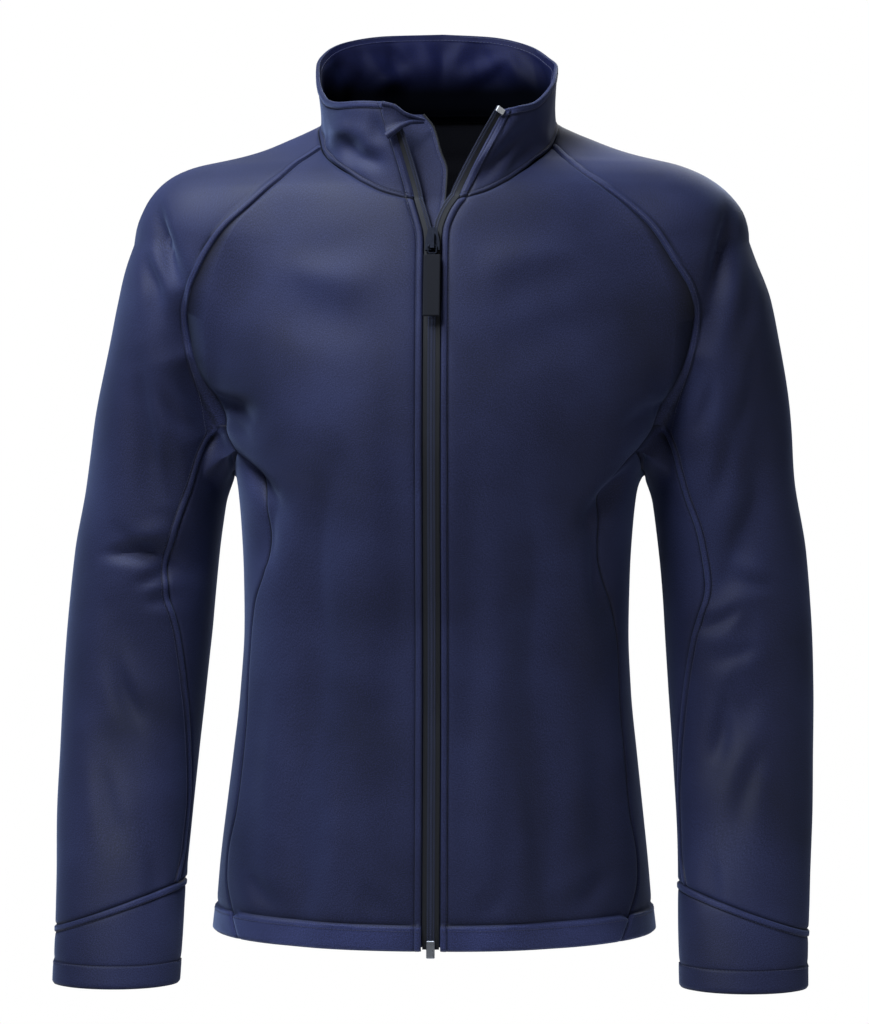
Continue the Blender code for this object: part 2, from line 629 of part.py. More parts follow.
def cloth(name, outer, inner, finish_material, ring=False):
    """Closed wall between an outer and an inner grid of points."""
    rows, columns = outer.shape[:2]
    count = rows * columns
    bm = bmesh.new()
    points = [bm.verts.new(p) for p in np.concatenate([outer.reshape(-1, 3), inner.reshape(-1, 3)]) * MM]

    def quad(a, b, c, d):
        bm.faces.new([points[i] for i in (a, b, c)])
        bm.faces.new([points[i] for i in (a, c, d)])

    for r in range(rows - 1):
        for c in range(columns if ring else columns - 1):
            a, b = r * columns + c, r * columns + (c + 1) % columns
            quad(a, b, b + columns, a + columns)
            quad(a + count, b + count, b + columns + count, a + columns + count)
    for r in (0, rows - 1):
        for c in range(columns if ring else columns - 1):
            a, b = r * columns + c, r * columns + (c + 1) % columns
            quad(a, b, b + count, a + count)
    if not ring:
        for c in (0, columns - 1):
            for r in range(rows - 1):
                a, b = r * columns + c, (r + 1) * columns + c
                quad(a, b, b + count, a + count)
    return finish(name, bm, finish_material)


def panel(name, grid, side, sides, finish_material, ring=False):
    """Wall of one cloth panel, with its folds, on the half of the jacket that side names."""
    grid = grid * [side, 1, 1]
    outer = inset(folded(grid), sides)
    inner = outer - outward(grid) * WALL
    cloth(name, leaned(outer), leaned(inner), finish_material, ring)
    return outer


def grid_normals(grid, away_from):
    """Unit directions across a grid of points, pointing away from a middle line."""
    n = np.cross(np.gradient(grid, axis=0), np.gradient(grid, axis=1))
    n /= np.linalg.norm(n, axis=-1, keepdims=True)
    sign = np.sign(((grid - away_from) * n)[..., :2].sum(-1).mean())
    return n * sign


def collar_grid():
    """Collar from its seam to its rim, from the wearer's right end round the back to the left end."""
    turn = np.linspace(-1, 1, COLLAR_CELLS + 1)
    rows = []
    for t in turn:
        side = 1 if t > 0 else -1
        rim_table, edge = (RIM_LEFT, NECK_EDGE_LEFT) if t > 0 else (RIM_RIGHT, NECK_EDGE_RIGHT)
        base = neck(180 - abs(t) * (180 - edge)) + [0, 0, COLLAR_LIFT]
        rim = np.array([read(rim_table, c, 180 - abs(t) * 170, "angle") for c in "xyz"])
        rows.append((base * [side, 1, 1], rim * [side, 1, 1]))
    base, rim = (np.array(line) for line in zip(*rows))
    share = np.linspace(0, 1, COLLAR_ROWS + 1)[:, None, None]
    grid = base * (1 - share) + rim * share
    level = (grid - [0, COLLAR_MIDDLE_Y, 0]) * [1, 1, 0]
    level /= np.linalg.norm(level, axis=-1, keepdims=True)
    return grid - level * COLLAR_BOW * np.sin(np.pi * np.sqrt(share))


def collar():
    """Outside and inside layers of the stand collar. Gives the outside grid and its outward ways."""
    grid = collar_grid()
    n = grid_normals(grid, [0, COLLAR_MIDDLE_Y, 0])
    navy, dark = material("navy_softshell", NAVY, 0.75), material("navy_collar_inside", NAVY_DARK, 0.8)
    cloth("collar_outer", leaned(grid), leaned(grid - n * COLLAR_WALL), navy)
    start = COLLAR_WALL + SEAM_GAP
    cloth("collar_inner", leaned(grid - n * start), leaned(grid - n * (start + COLLAR_WALL)), dark)
    return grid, n


def tape(name, side, edge, out):
    """One zip tape beside the front's edge and the collar's, from points and their outward ways."""
    run = np.gradient(edge, axis=0)
    across = np.cross(run, out)
    across /= np.linalg.norm(across, axis=-1, keepdims=True)
    across *= -side * np.sign(across[:, :1])
    width = np.minimum(TAPE_SHOWN, (edge[:, 0] * side - SEAM_GAP / 2) / np.abs(across[:, 0]))[:, None]
    near, far = edge + across * TAPE_GAP, edge + across * width
    outer = np.stack([near, (near + far) / 2, far], 1) - out[:, None] * TAPE_RECESS
    cloth(name, outer, outer - out[:, None] * TAPE_WALL, material("zip_tape_woven", TAPE_GREY, 0.8))
    return outer


def tape_edge(front, collar_edge, collar_out):
    """Edge of one front and of the collar above it, with outward ways, from the hem up."""
    points = np.concatenate([front[::-1], collar_edge[1:]])
    out = np.concatenate([outward(front[::-1]), collar_out[1:]])
    points[0] += (points[1] - points[0]) * TAPE_LIFT / (points[1, 2] - points[0, 2])
    return points, out


def centre_y(z):
    """How far forward the middle of the jacket's front lies at a height, collar too."""
    body = seen(np.zeros(np.shape(z)), np.minimum(z, NECK_FRONT_Z), -1)[..., 1]
    return body + np.maximum(np.asarray(z) - NECK_FRONT_Z, 0) * COLLAR_LEAN_BACK


def storm_flap():
    """Strip of cloth behind the zip."""
    z = np.linspace(FLAP["z"].min(), FLAP["z"].max(), FLAP_ROWS + 1)[:, None]
    share = np.linspace(0, 1, FLAP_CELLS + 1)[None]
    x = read(FLAP, "right", z) - FLAP_WIDTH * (1 - share)
    y = centre_y(z[:, 0])[:, None] + read(FLAP, "behind", z) + 0 * x
    grid = np.stack([x, y, z + 0 * x], -1)
    inner = grid + [0, FLAP_WALL, 0]
    cloth("storm_flap", grid, inner, material("navy_flap", NAVY_DARK, 0.8))


def chin_guard():
    """Folded cowl over the top of the wearer's right zip tape."""
    top, bottom = (through(np.stack([GUARD[k + end] for k in "xyz"], -1), GUARD_CELLS) for end in "01")
    share = np.linspace(0, 1, 4)[:, None, None]
    grid = top * (1 - share) + bottom * share - [0, 1, 0] * (GUARD_BULGE * np.sin(np.pi * share))
    cloth("chin_guard", grid, grid + [0, COLLAR_WALL, 0], material("navy_softshell", NAVY, 0.75))


def solid_outline(outline, low, high):
    """Plate in a bmesh from an outline in X and Z, between two depths along Y."""
    bm = bmesh.new()
    face = bm.faces.new([bm.verts.new((x * MM, low * MM, z * MM)) for x, z in outline])
    grown = bmesh.ops.extrude_face_region(bm, geom=[face])
    moved = [v for v in grown["geom"] if isinstance(v, bmesh.types.BMVert)]
    bmesh.ops.translate(bm, vec=(0, (high - low) * MM, 0), verts=moved)
    return bm


def box_outline(width, low, high):
    """Corners of an upright rectangle round X nought."""
    return [(-width / 2, low), (width / 2, low), (width / 2, high), (-width / 2, high)]


def bevel(made, width, segments=1):
    """Bevel modifier on a made object, in millimetres."""
    rounding = made.modifiers.new("rounded edges", "BEVEL")
    rounding.width = width * MM
    rounding.segments = segments
    rounding.limit_method = "ANGLE"
    return made


def combine(made, other, operation):
    """Boolean of one object with another, which stays as a hidden guide."""
    cut = made.modifiers.new(operation.lower(), "BOOLEAN")
    cut.operation = operation
    cut.object = other
    cut.solver = "EXACT"
    other.hide_render = True
    other.display_type = "WIRE"


def place(made, frame_at):
    """Set an object's place from a point in millimetres and a tilt about X."""
    point, tilt = frame_at
    made.location = [c * MM for c in point]
    made.rotation_euler = (tilt, 0, 0)


def ring_mesh(width, height, radius, corner, sides=8, corner_cells=3):
    """Closed wire loop hanging down from a bar on the X axis."""
    centres = [(width / 2 - corner, -corner), (-width / 2 + corner, -corner),
               (-width / 2 + corner, -height + corner), (width / 2 - corner, -height + corner)]
    path = []
    for i, (x, z) in enumerate(centres):
        for k in range(corner_cells + 1):
            angle = math.pi / 2 * (i + k / corner_cells)
            path.append((x + corner * math.cos(angle), z + corner * math.sin(angle)))
    bm = bmesh.new()
    loops = []
    count = len(path)
    for i in range(count):
        before, after = path[i - 1], path[(i + 1) % count]
        run = np.array([after[0] - before[0], after[1] - before[1]])
        normal = np.array([run[1], -run[0]]) / np.linalg.norm(run)
        loop = []
        for k in range(sides):
            angle = 2 * math.pi * (k + 0.5) / sides
            out, deep = radius * math.cos(angle), radius * math.sin(angle)
            x, z = path[i] + normal * out
            loop.append(bm.verts.new((x * MM, deep * MM, z * MM)))
        loops.append(loop)
    for i in range(count):
        for k in range(sides):
            j, m = (i + 1) % count, (k + 1) % sides
            bm.faces.new((loops[i][k], loops[j][k], loops[j][m], loops[i][m]))
    return bm


def zip_hardware(left_tape):
    """Slider, its ring and tab on their hinge, the top stop and the bottom box."""
    metal = material("gunmetal_slider", GUNMETAL, 0.35, 1.0)
    low, high = centre_y(np.array([SLIDER_Z - TILT_BELOW, SLIDER_Z + TILT_ABOVE]))
    tilt = math.atan2(high - low, TILT_BELOW + TILT_ABOVE)
    middle = [0.0, float(centre_y(np.array([SLIDER_Z]))[0]), SLIDER_Z]
    plate = finish("zip_slider", solid_outline(SLIDER_OUTLINE, -PLATE_TOP, -PLATE_BASE), metal)
    bridge_side = box_outline(BRIDGE_WIDTH, BRIDGE_LOW, BRIDGE_HIGH)
    bridge_form = solid_outline(bridge_side, -BRIDGE_TOP, -PLATE_BASE - BRIDGE_SUNK)
    bridge = finish("guide_bridge", bridge_form, metal)
    eye_side = box_outline(TUNNEL_WIDTH, HINGE_LOCAL_Z - EYE / 2, HINGE_LOCAL_Z + EYE / 2)
    tunnel_form = solid_outline(eye_side, -HINGE_OUT - EYE / 2, -HINGE_OUT + EYE / 2)
    tunnel = finish("guide_tunnel", tunnel_form, metal)
    for made in (plate, bridge, tunnel):
        place(made, (middle, -tilt))
    combine(plate, bridge, "UNION")
    combine(plate, tunnel, "DIFFERENCE")

    c, s = math.cos(-tilt), math.sin(-tilt)
    hinge_y = middle[1] - c * HINGE_OUT - s * HINGE_LOCAL_Z
    hinge = [0.0, hinge_y, middle[2] - s * HINGE_OUT + c * HINGE_LOCAL_Z]
    empty = bpy.data.objects.new("pull_hinge", None)
    bpy.context.scene.collection.objects.link(empty)
    place(empty, (hinge, -tilt))
    ring = finish("pull_ring", ring_mesh(RING_WIDTH, RING_HEIGHT, RING_RADIUS, RING_CORNER), metal)
    tab_top = -RING_HEIGHT - RING_RADIUS - SEAM_GAP
    tab_side = box_outline(TAB_WIDTH, tab_top - TAB_LENGTH, tab_top)
    tab = finish("pull_tab", solid_outline(tab_side, -TAB_WALL / 2, TAB_WALL / 2),
                 material("black_rubber_tab", TAB_BLACK, 0.6))
    bevel(tab, TAB_BEVEL, 2)
    ring.parent = tab.parent = empty

    across = left_tape[-1, 2] - left_tape[-1, 0]
    along = left_tape[-1, 0] - left_tape[-2, 0]
    stop_side = box_outline(STOP_WIDTH, -STOP_HEIGHT, 0)
    stop = finish("zip_top_stop", solid_outline(stop_side, -STOP_WALL, -SEAM_GAP),
                  material("stop_white", STOP_WHITE, 0.4))
    stop.location = left_tape[-1, 1] * MM
    stop.rotation_euler = (math.atan2(along[1], along[2]), math.atan2(along[0], along[2]),
                           math.atan2(across[1], across[0]) + math.pi)

    box_y = float(centre_y(np.array([BOX_TOP_Z]))[0])
    box_side = box_outline(BOX_WIDTH, BOX_BOTTOM_Z - BOX_TOP_Z, 0)
    steel = material("box_steel", NICKEL, 0.3, 1.0)
    box = finish("zip_bottom_box", solid_outline(box_side, -BOX_WALL, 0), steel)
    place(bevel(box, BOX_BEVEL), ((0.0, box_y - BOX_GAP, BOX_TOP_Z), 0.0))


def main():
    """Build every piece of the jacket."""
    for old in list(bpy.data.objects):
        bpy.data.objects.remove(old)
    navy = material("navy_softshell", NAVY, 0.75)
    seams = side_seams()
    edges = {}
    fronts = (("right", -1, EDGE_RIGHT, NECK_EDGE_RIGHT), ("left", 1, EDGE_LEFT, NECK_EDGE_LEFT))
    for name, side, edge, start in fronts:
        outer = panel("front_" + name, front_grid(seams, edge, start), side, ("top", "right"), navy)
        edges[name] = outer[:, 0]
    panel("back", back_grid(seams), 1, ("top", "left", "right"), navy)
    upper, under = upper_sleeve_grid(seams), under_sleeve_grid(seams)
    around = ("top", "bottom", "left", "right")
    for name, side in (("right", -1), ("left", 1)):
        panel("side_panel_" + name, side_grid(seams), side, ("top", "left", "right"), navy)
        panel("sleeve_upper_" + name, upper, side, around, navy)
        panel("sleeve_under_" + name, under, side, around, navy)
        panel("cuff_" + name, cuff_grid(upper, under), side, ("top",), navy, ring=True)
    grid, out = collar()
    tape("zip_tape_right", -1, *tape_edge(edges["right"], grid[:, 0], out[:, 0]))
    left_tape = tape("zip_tape_left", 1, *tape_edge(edges["left"], grid[:, -1], out[:, -1]))
    storm_flap()
    chin_guard()
    zip_hardware(left_tape)


main()
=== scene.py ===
"""Looks of a worn softshell jacket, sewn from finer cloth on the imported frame.

The front faces -Y, up is +Z, and the wearer's left is +X. Sizes are in millimetres, and meshes are written
in metres. Body and arms are two smooth tubes with a soft blend, as in the part's solids. Each panel is a
lattice of points on that shape, closer together beside its seams, where the cloth rolls in, lies
over its seam allowance and dips under its stitches. Folds push the lattice out and in.
"""
import logging
import math
from collections.abc import Callable, Iterable, Sequence
from dataclasses import dataclass, field, replace
from enum import Enum

import bmesh
import bpy
import numpy as np
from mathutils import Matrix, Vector


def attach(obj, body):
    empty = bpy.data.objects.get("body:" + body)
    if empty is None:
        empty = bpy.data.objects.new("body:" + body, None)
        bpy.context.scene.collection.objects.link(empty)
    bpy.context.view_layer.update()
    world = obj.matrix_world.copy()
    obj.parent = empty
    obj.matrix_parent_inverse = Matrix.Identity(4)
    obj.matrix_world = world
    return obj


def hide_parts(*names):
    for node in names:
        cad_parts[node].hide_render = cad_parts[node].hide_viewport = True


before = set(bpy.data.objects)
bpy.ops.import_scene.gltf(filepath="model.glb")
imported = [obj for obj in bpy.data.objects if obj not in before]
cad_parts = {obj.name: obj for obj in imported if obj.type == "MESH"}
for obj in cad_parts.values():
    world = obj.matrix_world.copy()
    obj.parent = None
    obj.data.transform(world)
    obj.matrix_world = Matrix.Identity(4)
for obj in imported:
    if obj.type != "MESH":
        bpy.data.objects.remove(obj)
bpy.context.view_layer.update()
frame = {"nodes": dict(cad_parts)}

log = logging.getLogger("softshell_jacket")

MM = 0.001  # metres in a millimetre
JACKET, PULL = "jacket", "pull_tab"  # the part's two bodies
WALL = 1.8  # thickness of the bonded cloth
COLLAR_WALL = 1.5  # the same in each layer of the collar
DEEPEST = -0.8 * WALL  # how far its edges may sink in
SEAM_GAP = 0.3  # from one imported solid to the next, which the cloth nearly closes
NECK_FRONT_Z = -54.0  # height of the collar seam at the zip
COLLAR_LEAN_BACK = 0.11  # how far the collar's front leans back for each millimetre up

SIDES = {"right": -1, "left": 1}  # the wearer's
NECK_EDGES = {-1: 10.7, 1: 15.0}  # angles round the neck where the fronts start, by side

Array = np.ndarray
Piece = bpy.types.Object
Material = bpy.types.Material
Columns = dict[str, Array]
Shape = Callable[[Array], Array]


def table(names: str, rows: Iterable[Sequence[float]]) -> Columns:
    """Named columns of numbers.

    Args:
        names: The columns' names, with spaces between them.
        rows: One tuple for each row.

    Returns:
        Each column as an array, by its name.
    """
    return dict(zip(names.split(), np.array(list(rows), float).T))


# Horizontal sections of the body, from the hem up to the collar
TORSO = table("z half_width front back roundness", [
    (-760, 202, -146, 140, 2.30), (-700, 200, -144, 139, 2.30), (-662, 197, -141, 137, 2.30),
    (-607, 191, -136, 131, 2.30), (-552, 185, -131, 123, 2.30), (-497, 179, -127, 115, 2.35),
    (-440, 176, -127, 111, 2.40), (-386, 177, -131, 115, 2.40), (-350, 179, -134, 121, 2.40),
    (-313, 183, -136, 127, 2.40), (-280, 191, -137, 132, 2.35), (-250, 203, -136, 135, 2.30),
    (-200, 221, -132, 137, 2.20), (-140, 230, -122, 134, 2.15), (-100, 229, -113, 129, 2.10),
    (-60, 226, -101, 120, 2.05), (-40, 222, -91, 114, 2.05), (-30, 218, -82, 110, 2.0),
    (-15, 202, -62, 103, 2.0), (-9, 189, -52, 100, 2.0), (3, 162, -36, 95, 2.0), (10, 146, -30, 91, 2.0),
    (18, 127, -27, 87, 2.0), (26, 111, -24, 83, 2.0), (40, 98, -20, 76, 2.0),
])

# Horizontal sections of an arm, from the cuff up to the round shoulder
ARM = table("z x y half_width half_depth", [
    (-770, 280, -102, 56.5, 46), (-720, 280, -83, 57.5, 49), (-670, 281, -62, 59.0, 52),
    (-610, 282, -36, 61.5, 55), (-550, 281, -14, 64.0, 58), (-490, 279, 3, 66.0, 61),
    (-430, 276, 14, 67.5, 64), (-370, 271, 20, 67.5, 67), (-310, 262, 21, 66.5, 71),
    (-240, 253, 19, 68.0, 76), (-180, 240, 16, 70.5, 80), (-130, 226, 12, 73.5, 82),
    (-85, 209, 9, 74.5, 80),
])

# Sideways shift of the whole jacket, which stands a little askew as worn
LEAN = table("z shift", [
    (-740, -4.5), (-600, -3.5), (-500, -2.5), (-420, -1.5), (-310, -1), (-260, 1), (-200, 3), (-140, 3.5),
    (-100, 1.5), (-60, 2), (-40, 0), (-15, -3), (5, -1), (120, -1),
])

# Collar seam round the neck and collar rim, by the angle from the front
NECK = table("angle x y z", [
    (10, 17, -99, -54), (30, 42, -92, -49), (50, 66, -76, -40), (68, 90, -52, -23), (82, 105, -22, -2),
    (98, 110, 8, 18), (115, 103, 36, 29), (132, 86, 56, 34), (156, 48, 74, 37), (180, 0, 80, 38),
])
RIM_RIGHT = table("angle x y z", [
    (10, 44, -90, 33), (30, 66, -81, 35), (50, 86, -64, 36), (68, 100, -40, 41), (82, 111, -10, 60),
    (98, 114, 18, 81), (115, 108, 42, 96), (132, 92, 60, 107), (156, 52, 74, 115), (180, 0, 80, 117),
])
RIM_LEFT = table("angle x y z", [
    (10, 63, -82, 26), (30, 76, -74, 30), (50, 90, -58, 35), (68, 101, -36, 47), (82, 109, -8, 64),
    (98, 110, 18, 78), (115, 101, 42, 90), (132, 85, 60, 102), (156, 48, 74, 113), (180, 0, 80, 117),
])

# Seams as they look from the front or the back: distance from the middle, and height
RAGLAN_SEAM = table("x z", [
    (140, -32), (167, -55), (192, -79), (213, -112), (226, -137), (230, -155), (226, -180), (219, -205),
    (211, -225), (198, -256),
])
RAGLAN_SEAM_BACK = table("x z", [
    (112, 10), (140, -18), (166, -52), (188, -95), (202, -140), (208, -185), (205, -225), (196, -256),
])
GUSSET_POINT = table("x z", [(184, -279)])
SIDE_SEAM = table("x z", [
    (172, -292), (161, -308), (154, -326), (151.5, -350), (152.5, -373), (157, -395), (163, -418),
    (166, -445), (168, -480), (171, -530), (178, -600), (185, -640), (186, -662), (180, -690),
])
SIDE_SEAM_BACK = table("x z", [
    (170, -300), (160, -330), (154, -370), (154, -420), (158, -480), (166, -560), (174, -640), (176, -690),
])

# Sleeve seams: turn round the sleeve from its inner side, front and back
SLEEVE_SEAM = table("z front back", [
    (-690, 10, 14), (-640, 10, 16), (-580, 13, 20), (-506, 30, 30), (-447, 46, 38), (-400, 62, 44),
    (-358, 62, 46), (-318, 56, 46),
])
SHOULDER_LEAN = table("part degrees", [(0, 24), (0.3, 34), (0.6, 58), (1.0, 86), (1.2, 90)])

# Front edge beside the zip, which opens above the slider, by side
ZIP_EDGES = {
    -1: table("z x", [(-760, 8.3), (-96, 8.3), (-86, 9), (-70, 13), (-54, 18)]),
    1: table("z x", [(-760, 8.3), (-94, 8.3), (-83, 9), (-67, 14), (-52, 23)]),
}

# Inner edge of the strip behind the zip, towards the wearer's left, and how far it lies behind
FLAP = table("z right behind", [
    (-715, 14, 4.2), (-300, 14, 4.2), (-110, 14, 4.2), (-86, 12, 5), (-69, 9, 7), (-50, 11, 10),
    (-28, 12, 13), (-10, 6, 15), (13, -1, 17), (24, -10, 17),
])

# Cowl at the top of the wearer's right tape: points of its top line and of its bottom line
GUARD = table("x0 y0 z0 x1 y1 z1", [
    (-46, -94.5, 31.5, -42, -97, 2), (-36, -95, 29, -36, -97.5, 6), (-26, -93.5, 22.5, -28, -96, 11.5),
    (-17, -90.5, 19.5, -19, -92, 15), (-9, -85, 17.5, -9.5, -85.5, 15.8),
])

# Folds, one row each: troughs have a depth below nought, ridges above it. side is 1 for the wearer's
# left, -1 for the right and 0 for both, and face is -1 for the front and 1 for the back.
FOLD_COLUMNS = "side face x0 z0 x1 z1 reach depth"
FOLDS = table(FOLD_COLUMNS, [
    (-1, -1, 257, -62, 238, -130, 13, -4.0), (-1, -1, 277, -205, 254, -330, 17, -5.0),
    (-1, -1, 300, -366, 225, -380, 13, -5.5), (-1, -1, 296, -395, 240, -345, 20, 3.5),
    (-1, -1, 285, -425, 245, -490, 17, -4.0), (-1, -1, 302, -520, 268, -600, 20, -3.0),
    (1, -1, 264, -62, 243, -165, 14, -5.0), (1, -1, 306, -215, 283, -355, 17, -5.5),
    (1, -1, 283, -355, 246, -420, 15, -5.0), (1, -1, 300, -440, 262, -505, 18, 3.5),
    (1, -1, 296, -480, 250, -560, 16, -3.5), (-1, -1, 205, -232, 160, -248, 13, -5.0),
    (-1, -1, 184, -282, 140, -328, 13, -4.5), (-1, -1, 140, -328, 154, -385, 14, -3.5),
    (1, -1, 178, -292, 142, -342, 13, -4.5), (1, -1, 142, -342, 158, -430, 14, -3.5),
    (0, -1, 205, -120, 200, -225, 17, 4.0), (-1, -1, 105, -360, 118, -700, 27, -4.0),
    (-1, -1, 62, -330, 70, -700, 24, 3.0), (1, -1, 92, -340, 102, -700, 27, -4.0),
    (1, -1, 52, -420, 60, -700, 22, 3.0), (-1, -1, 150, -150, 60, -175, 24, -3.0),
    (1, -1, 150, -165, 55, -190, 24, -3.0), (0, 1, 150, -120, 95, -330, 26, -4.0),
    (-1, 1, 150, -410, 20, -450, 18, -4.5), (1, 1, 145, -445, 10, -425, 18, -4.5),
    (1, 1, 110, -500, 95, -700, 25, -4.0), (-1, 1, 120, -480, 108, -700, 25, -4.0),
    (0, 1, 285, -360, 230, -385, 15, -4.5), (0, 1, 262, -80, 246, -200, 18, -4.0),
    (-1, 1, 292, -430, 248, -490, 18, -3.5), (1, 1, 296, -450, 252, -520, 18, -3.5),
])

# Sharper creases that only the cloth here has, in the same columns
CREASES = table(FOLD_COLUMNS, [
    # Down from the round of each shoulder
    (-1, -1, 255, -60, 243, -118, 5.5, -1.8), (-1, -1, 268, -98, 258, -160, 6, -1.5),
    (1, -1, 266, -60, 246, -150, 6, -1.8), (1, -1, 280, -110, 268, -190, 7, -1.2),
    # Inner side of each upper arm, where the cloth turns under the raglan seam
    (-1, -1, 252, -225, 226, -262, 6, -1.6), (-1, -1, 244, -268, 232, -330, 6, -1.5),
    (1, -1, 246, -215, 232, -262, 6, -1.5), (1, -1, 262, -262, 250, -330, 7, -1.4),
    # Bent elbow
    (-1, -1, 304, -372, 244, -366, 6, -2.0), (-1, -1, 272, -398, 232, -380, 6, -1.6),
    (-1, -1, 262, -416, 236, -410, 7, -1.2), (1, -1, 306, -400, 262, -392, 7, -1.6),
    (1, -1, 274, -420, 238, -440, 6, -1.6), (1, -1, 292, -455, 250, -470, 7, -1.2),
    # Forearm
    (-1, -1, 292, -470, 262, -525, 8, -1.3), (-1, -1, 300, -560, 275, -640, 9, -1.2),
    (1, -1, 262, -500, 250, -560, 7, -1.4), (1, -1, 298, -540, 272, -620, 9, -1.2),
    (-1, -1, 250, -640, 242, -690, 7, -1.0), (1, -1, 252, -640, 246, -690, 7, -1.0),
    # From the armpit over the chest
    (-1, -1, 206, -230, 172, -242, 5.5, -2.0), (-1, -1, 200, -248, 166, -270, 6, -1.6),
    (1, -1, 208, -236, 176, -246, 5.5, -1.6), (1, -1, 204, -258, 172, -290, 6, -1.6),
    # Beside the side panels
    (-1, -1, 182, -286, 150, -318, 5.5, -1.6), (1, -1, 176, -296, 150, -330, 5.5, -1.6),
    # Waves over the chest and long soft folds down the fronts
    (-1, -1, 130, -118, 45, -128, 15, 1.2), (1, -1, 120, -105, 40, -118, 15, 1.2),
    (-1, -1, 40, -240, 34, -520, 16, -1.3), (1, -1, 34, -300, 30, -620, 15, -1.3),
    (-1, -1, 150, -480, 158, -690, 15, -1.6), (1, -1, 140, -500, 150, -690, 15, -1.8),
    (-1, -1, 88, -560, 96, -712, 10, 1.1), (1, -1, 76, -560, 84, -712, 10, 1.1),
    # Pulls at the hem
    (-1, -1, 165, -655, 132, -690, 9, -1.3), (1, -1, 160, -655, 124, -688, 9, -1.3),
    (-1, -1, 60, -660, 40, -692, 9, -1.0), (1, -1, 62, -664, 44, -692, 9, -1.0),
    # Back: blades, small of the back, elbows
    (0, 1, 188, -150, 140, -230, 8, -1.6), (-1, 1, 160, -430, 60, -448, 8, -1.8),
    (1, 1, 155, -428, 40, -446, 8, -1.8), (-1, 1, 140, -462, 30, -470, 9, -1.4),
    (1, 1, 150, -470, 60, -478, 9, -1.4), (0, 1, 300, -372, 240, -392, 7, -1.8),
    (0, 1, 296, -396, 246, -420, 7, -1.4), (0, 1, 60, -60, 20, -90, 14, -1.4),
    (-1, 1, 62, -520, 54, -700, 14, -1.4), (1, 1, 48, -540, 40, -700, 14, -1.4),
    (0, 1, 270, -250, 262, -340, 9, -1.5), (0, 1, 262, -560, 254, -660, 9, -1.2),
])

# Places where the cloth slopes down to a line, gently on its outer side and steeply on its inner side
SLOPES = table("side face x0 z0 x1 z1 inner outer depth", [
    # Sleeves that fall away behind the raglan seam
    (-1, -1, 231, -132, 226, -196, 6, 27, -7.5), (-1, -1, 224, -190, 202, -262, 6, 28, -8.5),
    (1, -1, 231, -140, 226, -196, 6, 23, -4.5), (1, -1, 224, -190, 202, -262, 6, 24, -5.5),
    # Pinch at the point of each shoulder
    (-1, -1, 257, -56, 238, -124, 6, 12, -4.2), (-1, -1, 268, -98, 252, -150, 7, 13, -2.8),
    (1, -1, 264, -58, 246, -150, 8, 13, -3.2), (1, -1, 240, -128, 238, -190, 8, 12, -2.4),
    # Lobes of the upper arms and the hang of the elbows
    (-1, -1, 272, -205, 252, -330, 9, 18, -3.6), (-1, -1, 286, -352, 232, -386, 8, 16, -3.4),
    (1, -1, 284, -190, 268, -300, 9, 18, -3.2), (1, -1, 296, -300, 262, -392, 8, 16, -3.0),
    (-1, -1, 292, -430, 262, -560, 12, 18, -2.2), (1, -1, 284, -430, 252, -560, 12, 18, -2.2),
    # Pulls from the armpits over the chest, and down beside the side panels
    (-1, -1, 203, -236, 164, -254, 5, 11, -3.0), (1, -1, 203, -240, 166, -258, 5, 11, -2.2),
    (-1, -1, 184, -279, 142, -324, 5, 14, -3.4), (-1, -1, 142, -324, 155, -384, 6, 14, -2.6),
    (1, -1, 182, -286, 140, -340, 5, 14, -2.8), (1, -1, 140, -340, 156, -430, 6, 14, -2.4),
    # Long soft folds of the fronts
    (-1, -1, 86, -300, 112, -560, 15, 26, -3.2), (-1, -1, 112, -560, 120, -712, 15, 24, -3.0),
    (1, -1, 80, -300, 104, -560, 22, 18, -3.0), (1, -1, 104, -560, 112, -712, 22, 18, -2.8),
    # The same behind
    (0, 1, 226, -150, 206, -256, 7, 22, -4.0), (-1, 1, 120, -330, 132, -600, 16, 24, -2.6),
    (1, 1, 112, -360, 126, -640, 16, 24, -2.6), (0, 1, 200, -262, 150, -300, 6, 14, -2.6),
])

# Folds of the collar's outside, then of its lining
COLLAR_FOLDS = table(FOLD_COLUMNS, [
    # Wearer's right: hollow under the rim, a fold down to the seam, a pinch at the side
    (-1, -1, 96, 12, 62, -20, 7, -2.4), (-1, -1, 104, -2, 74, 14, 8, 1.8),
    (-1, -1, 70, -14, 44, -22, 6, -1.6), (-1, -1, 108, 20, 88, -14, 6, -1.6),
    (-1, -1, 54, 22, 46, -6, 6, -1.2),
    # Wearer's left: two long slants from the seam up to the rim
    (1, -1, 44, -34, 92, 22, 6, -2.0), (1, -1, 30, -28, 72, 20, 7, 1.4), (1, -1, 66, -30, 102, 8, 6, -1.8),
    (1, -1, 88, -22, 108, 16, 6, 1.2),
    # Back of the neck
    (-1, 1, 70, 60, 20, 84, 9, -1.8), (1, 1, 62, 92, 10, 70, 9, -1.8), (0, 1, 104, 40, 86, 84, 9, -1.4),
])
LINING_FOLDS = table(FOLD_COLUMNS, [
    (-1, -1, 100, 88, 74, 52, 8, -2.2), (-1, -1, 72, 100, 48, 60, 8, 1.8), (-1, -1, 50, 104, 30, 66, 7, -1.8),
    (0, -1, 20, 108, 6, 72, 8, 1.4), (1, -1, 34, 104, 52, 62, 8, -2.0), (1, -1, 62, 98, 82, 56, 8, 1.8),
    (1, -1, 90, 88, 104, 48, 7, -1.8),
])


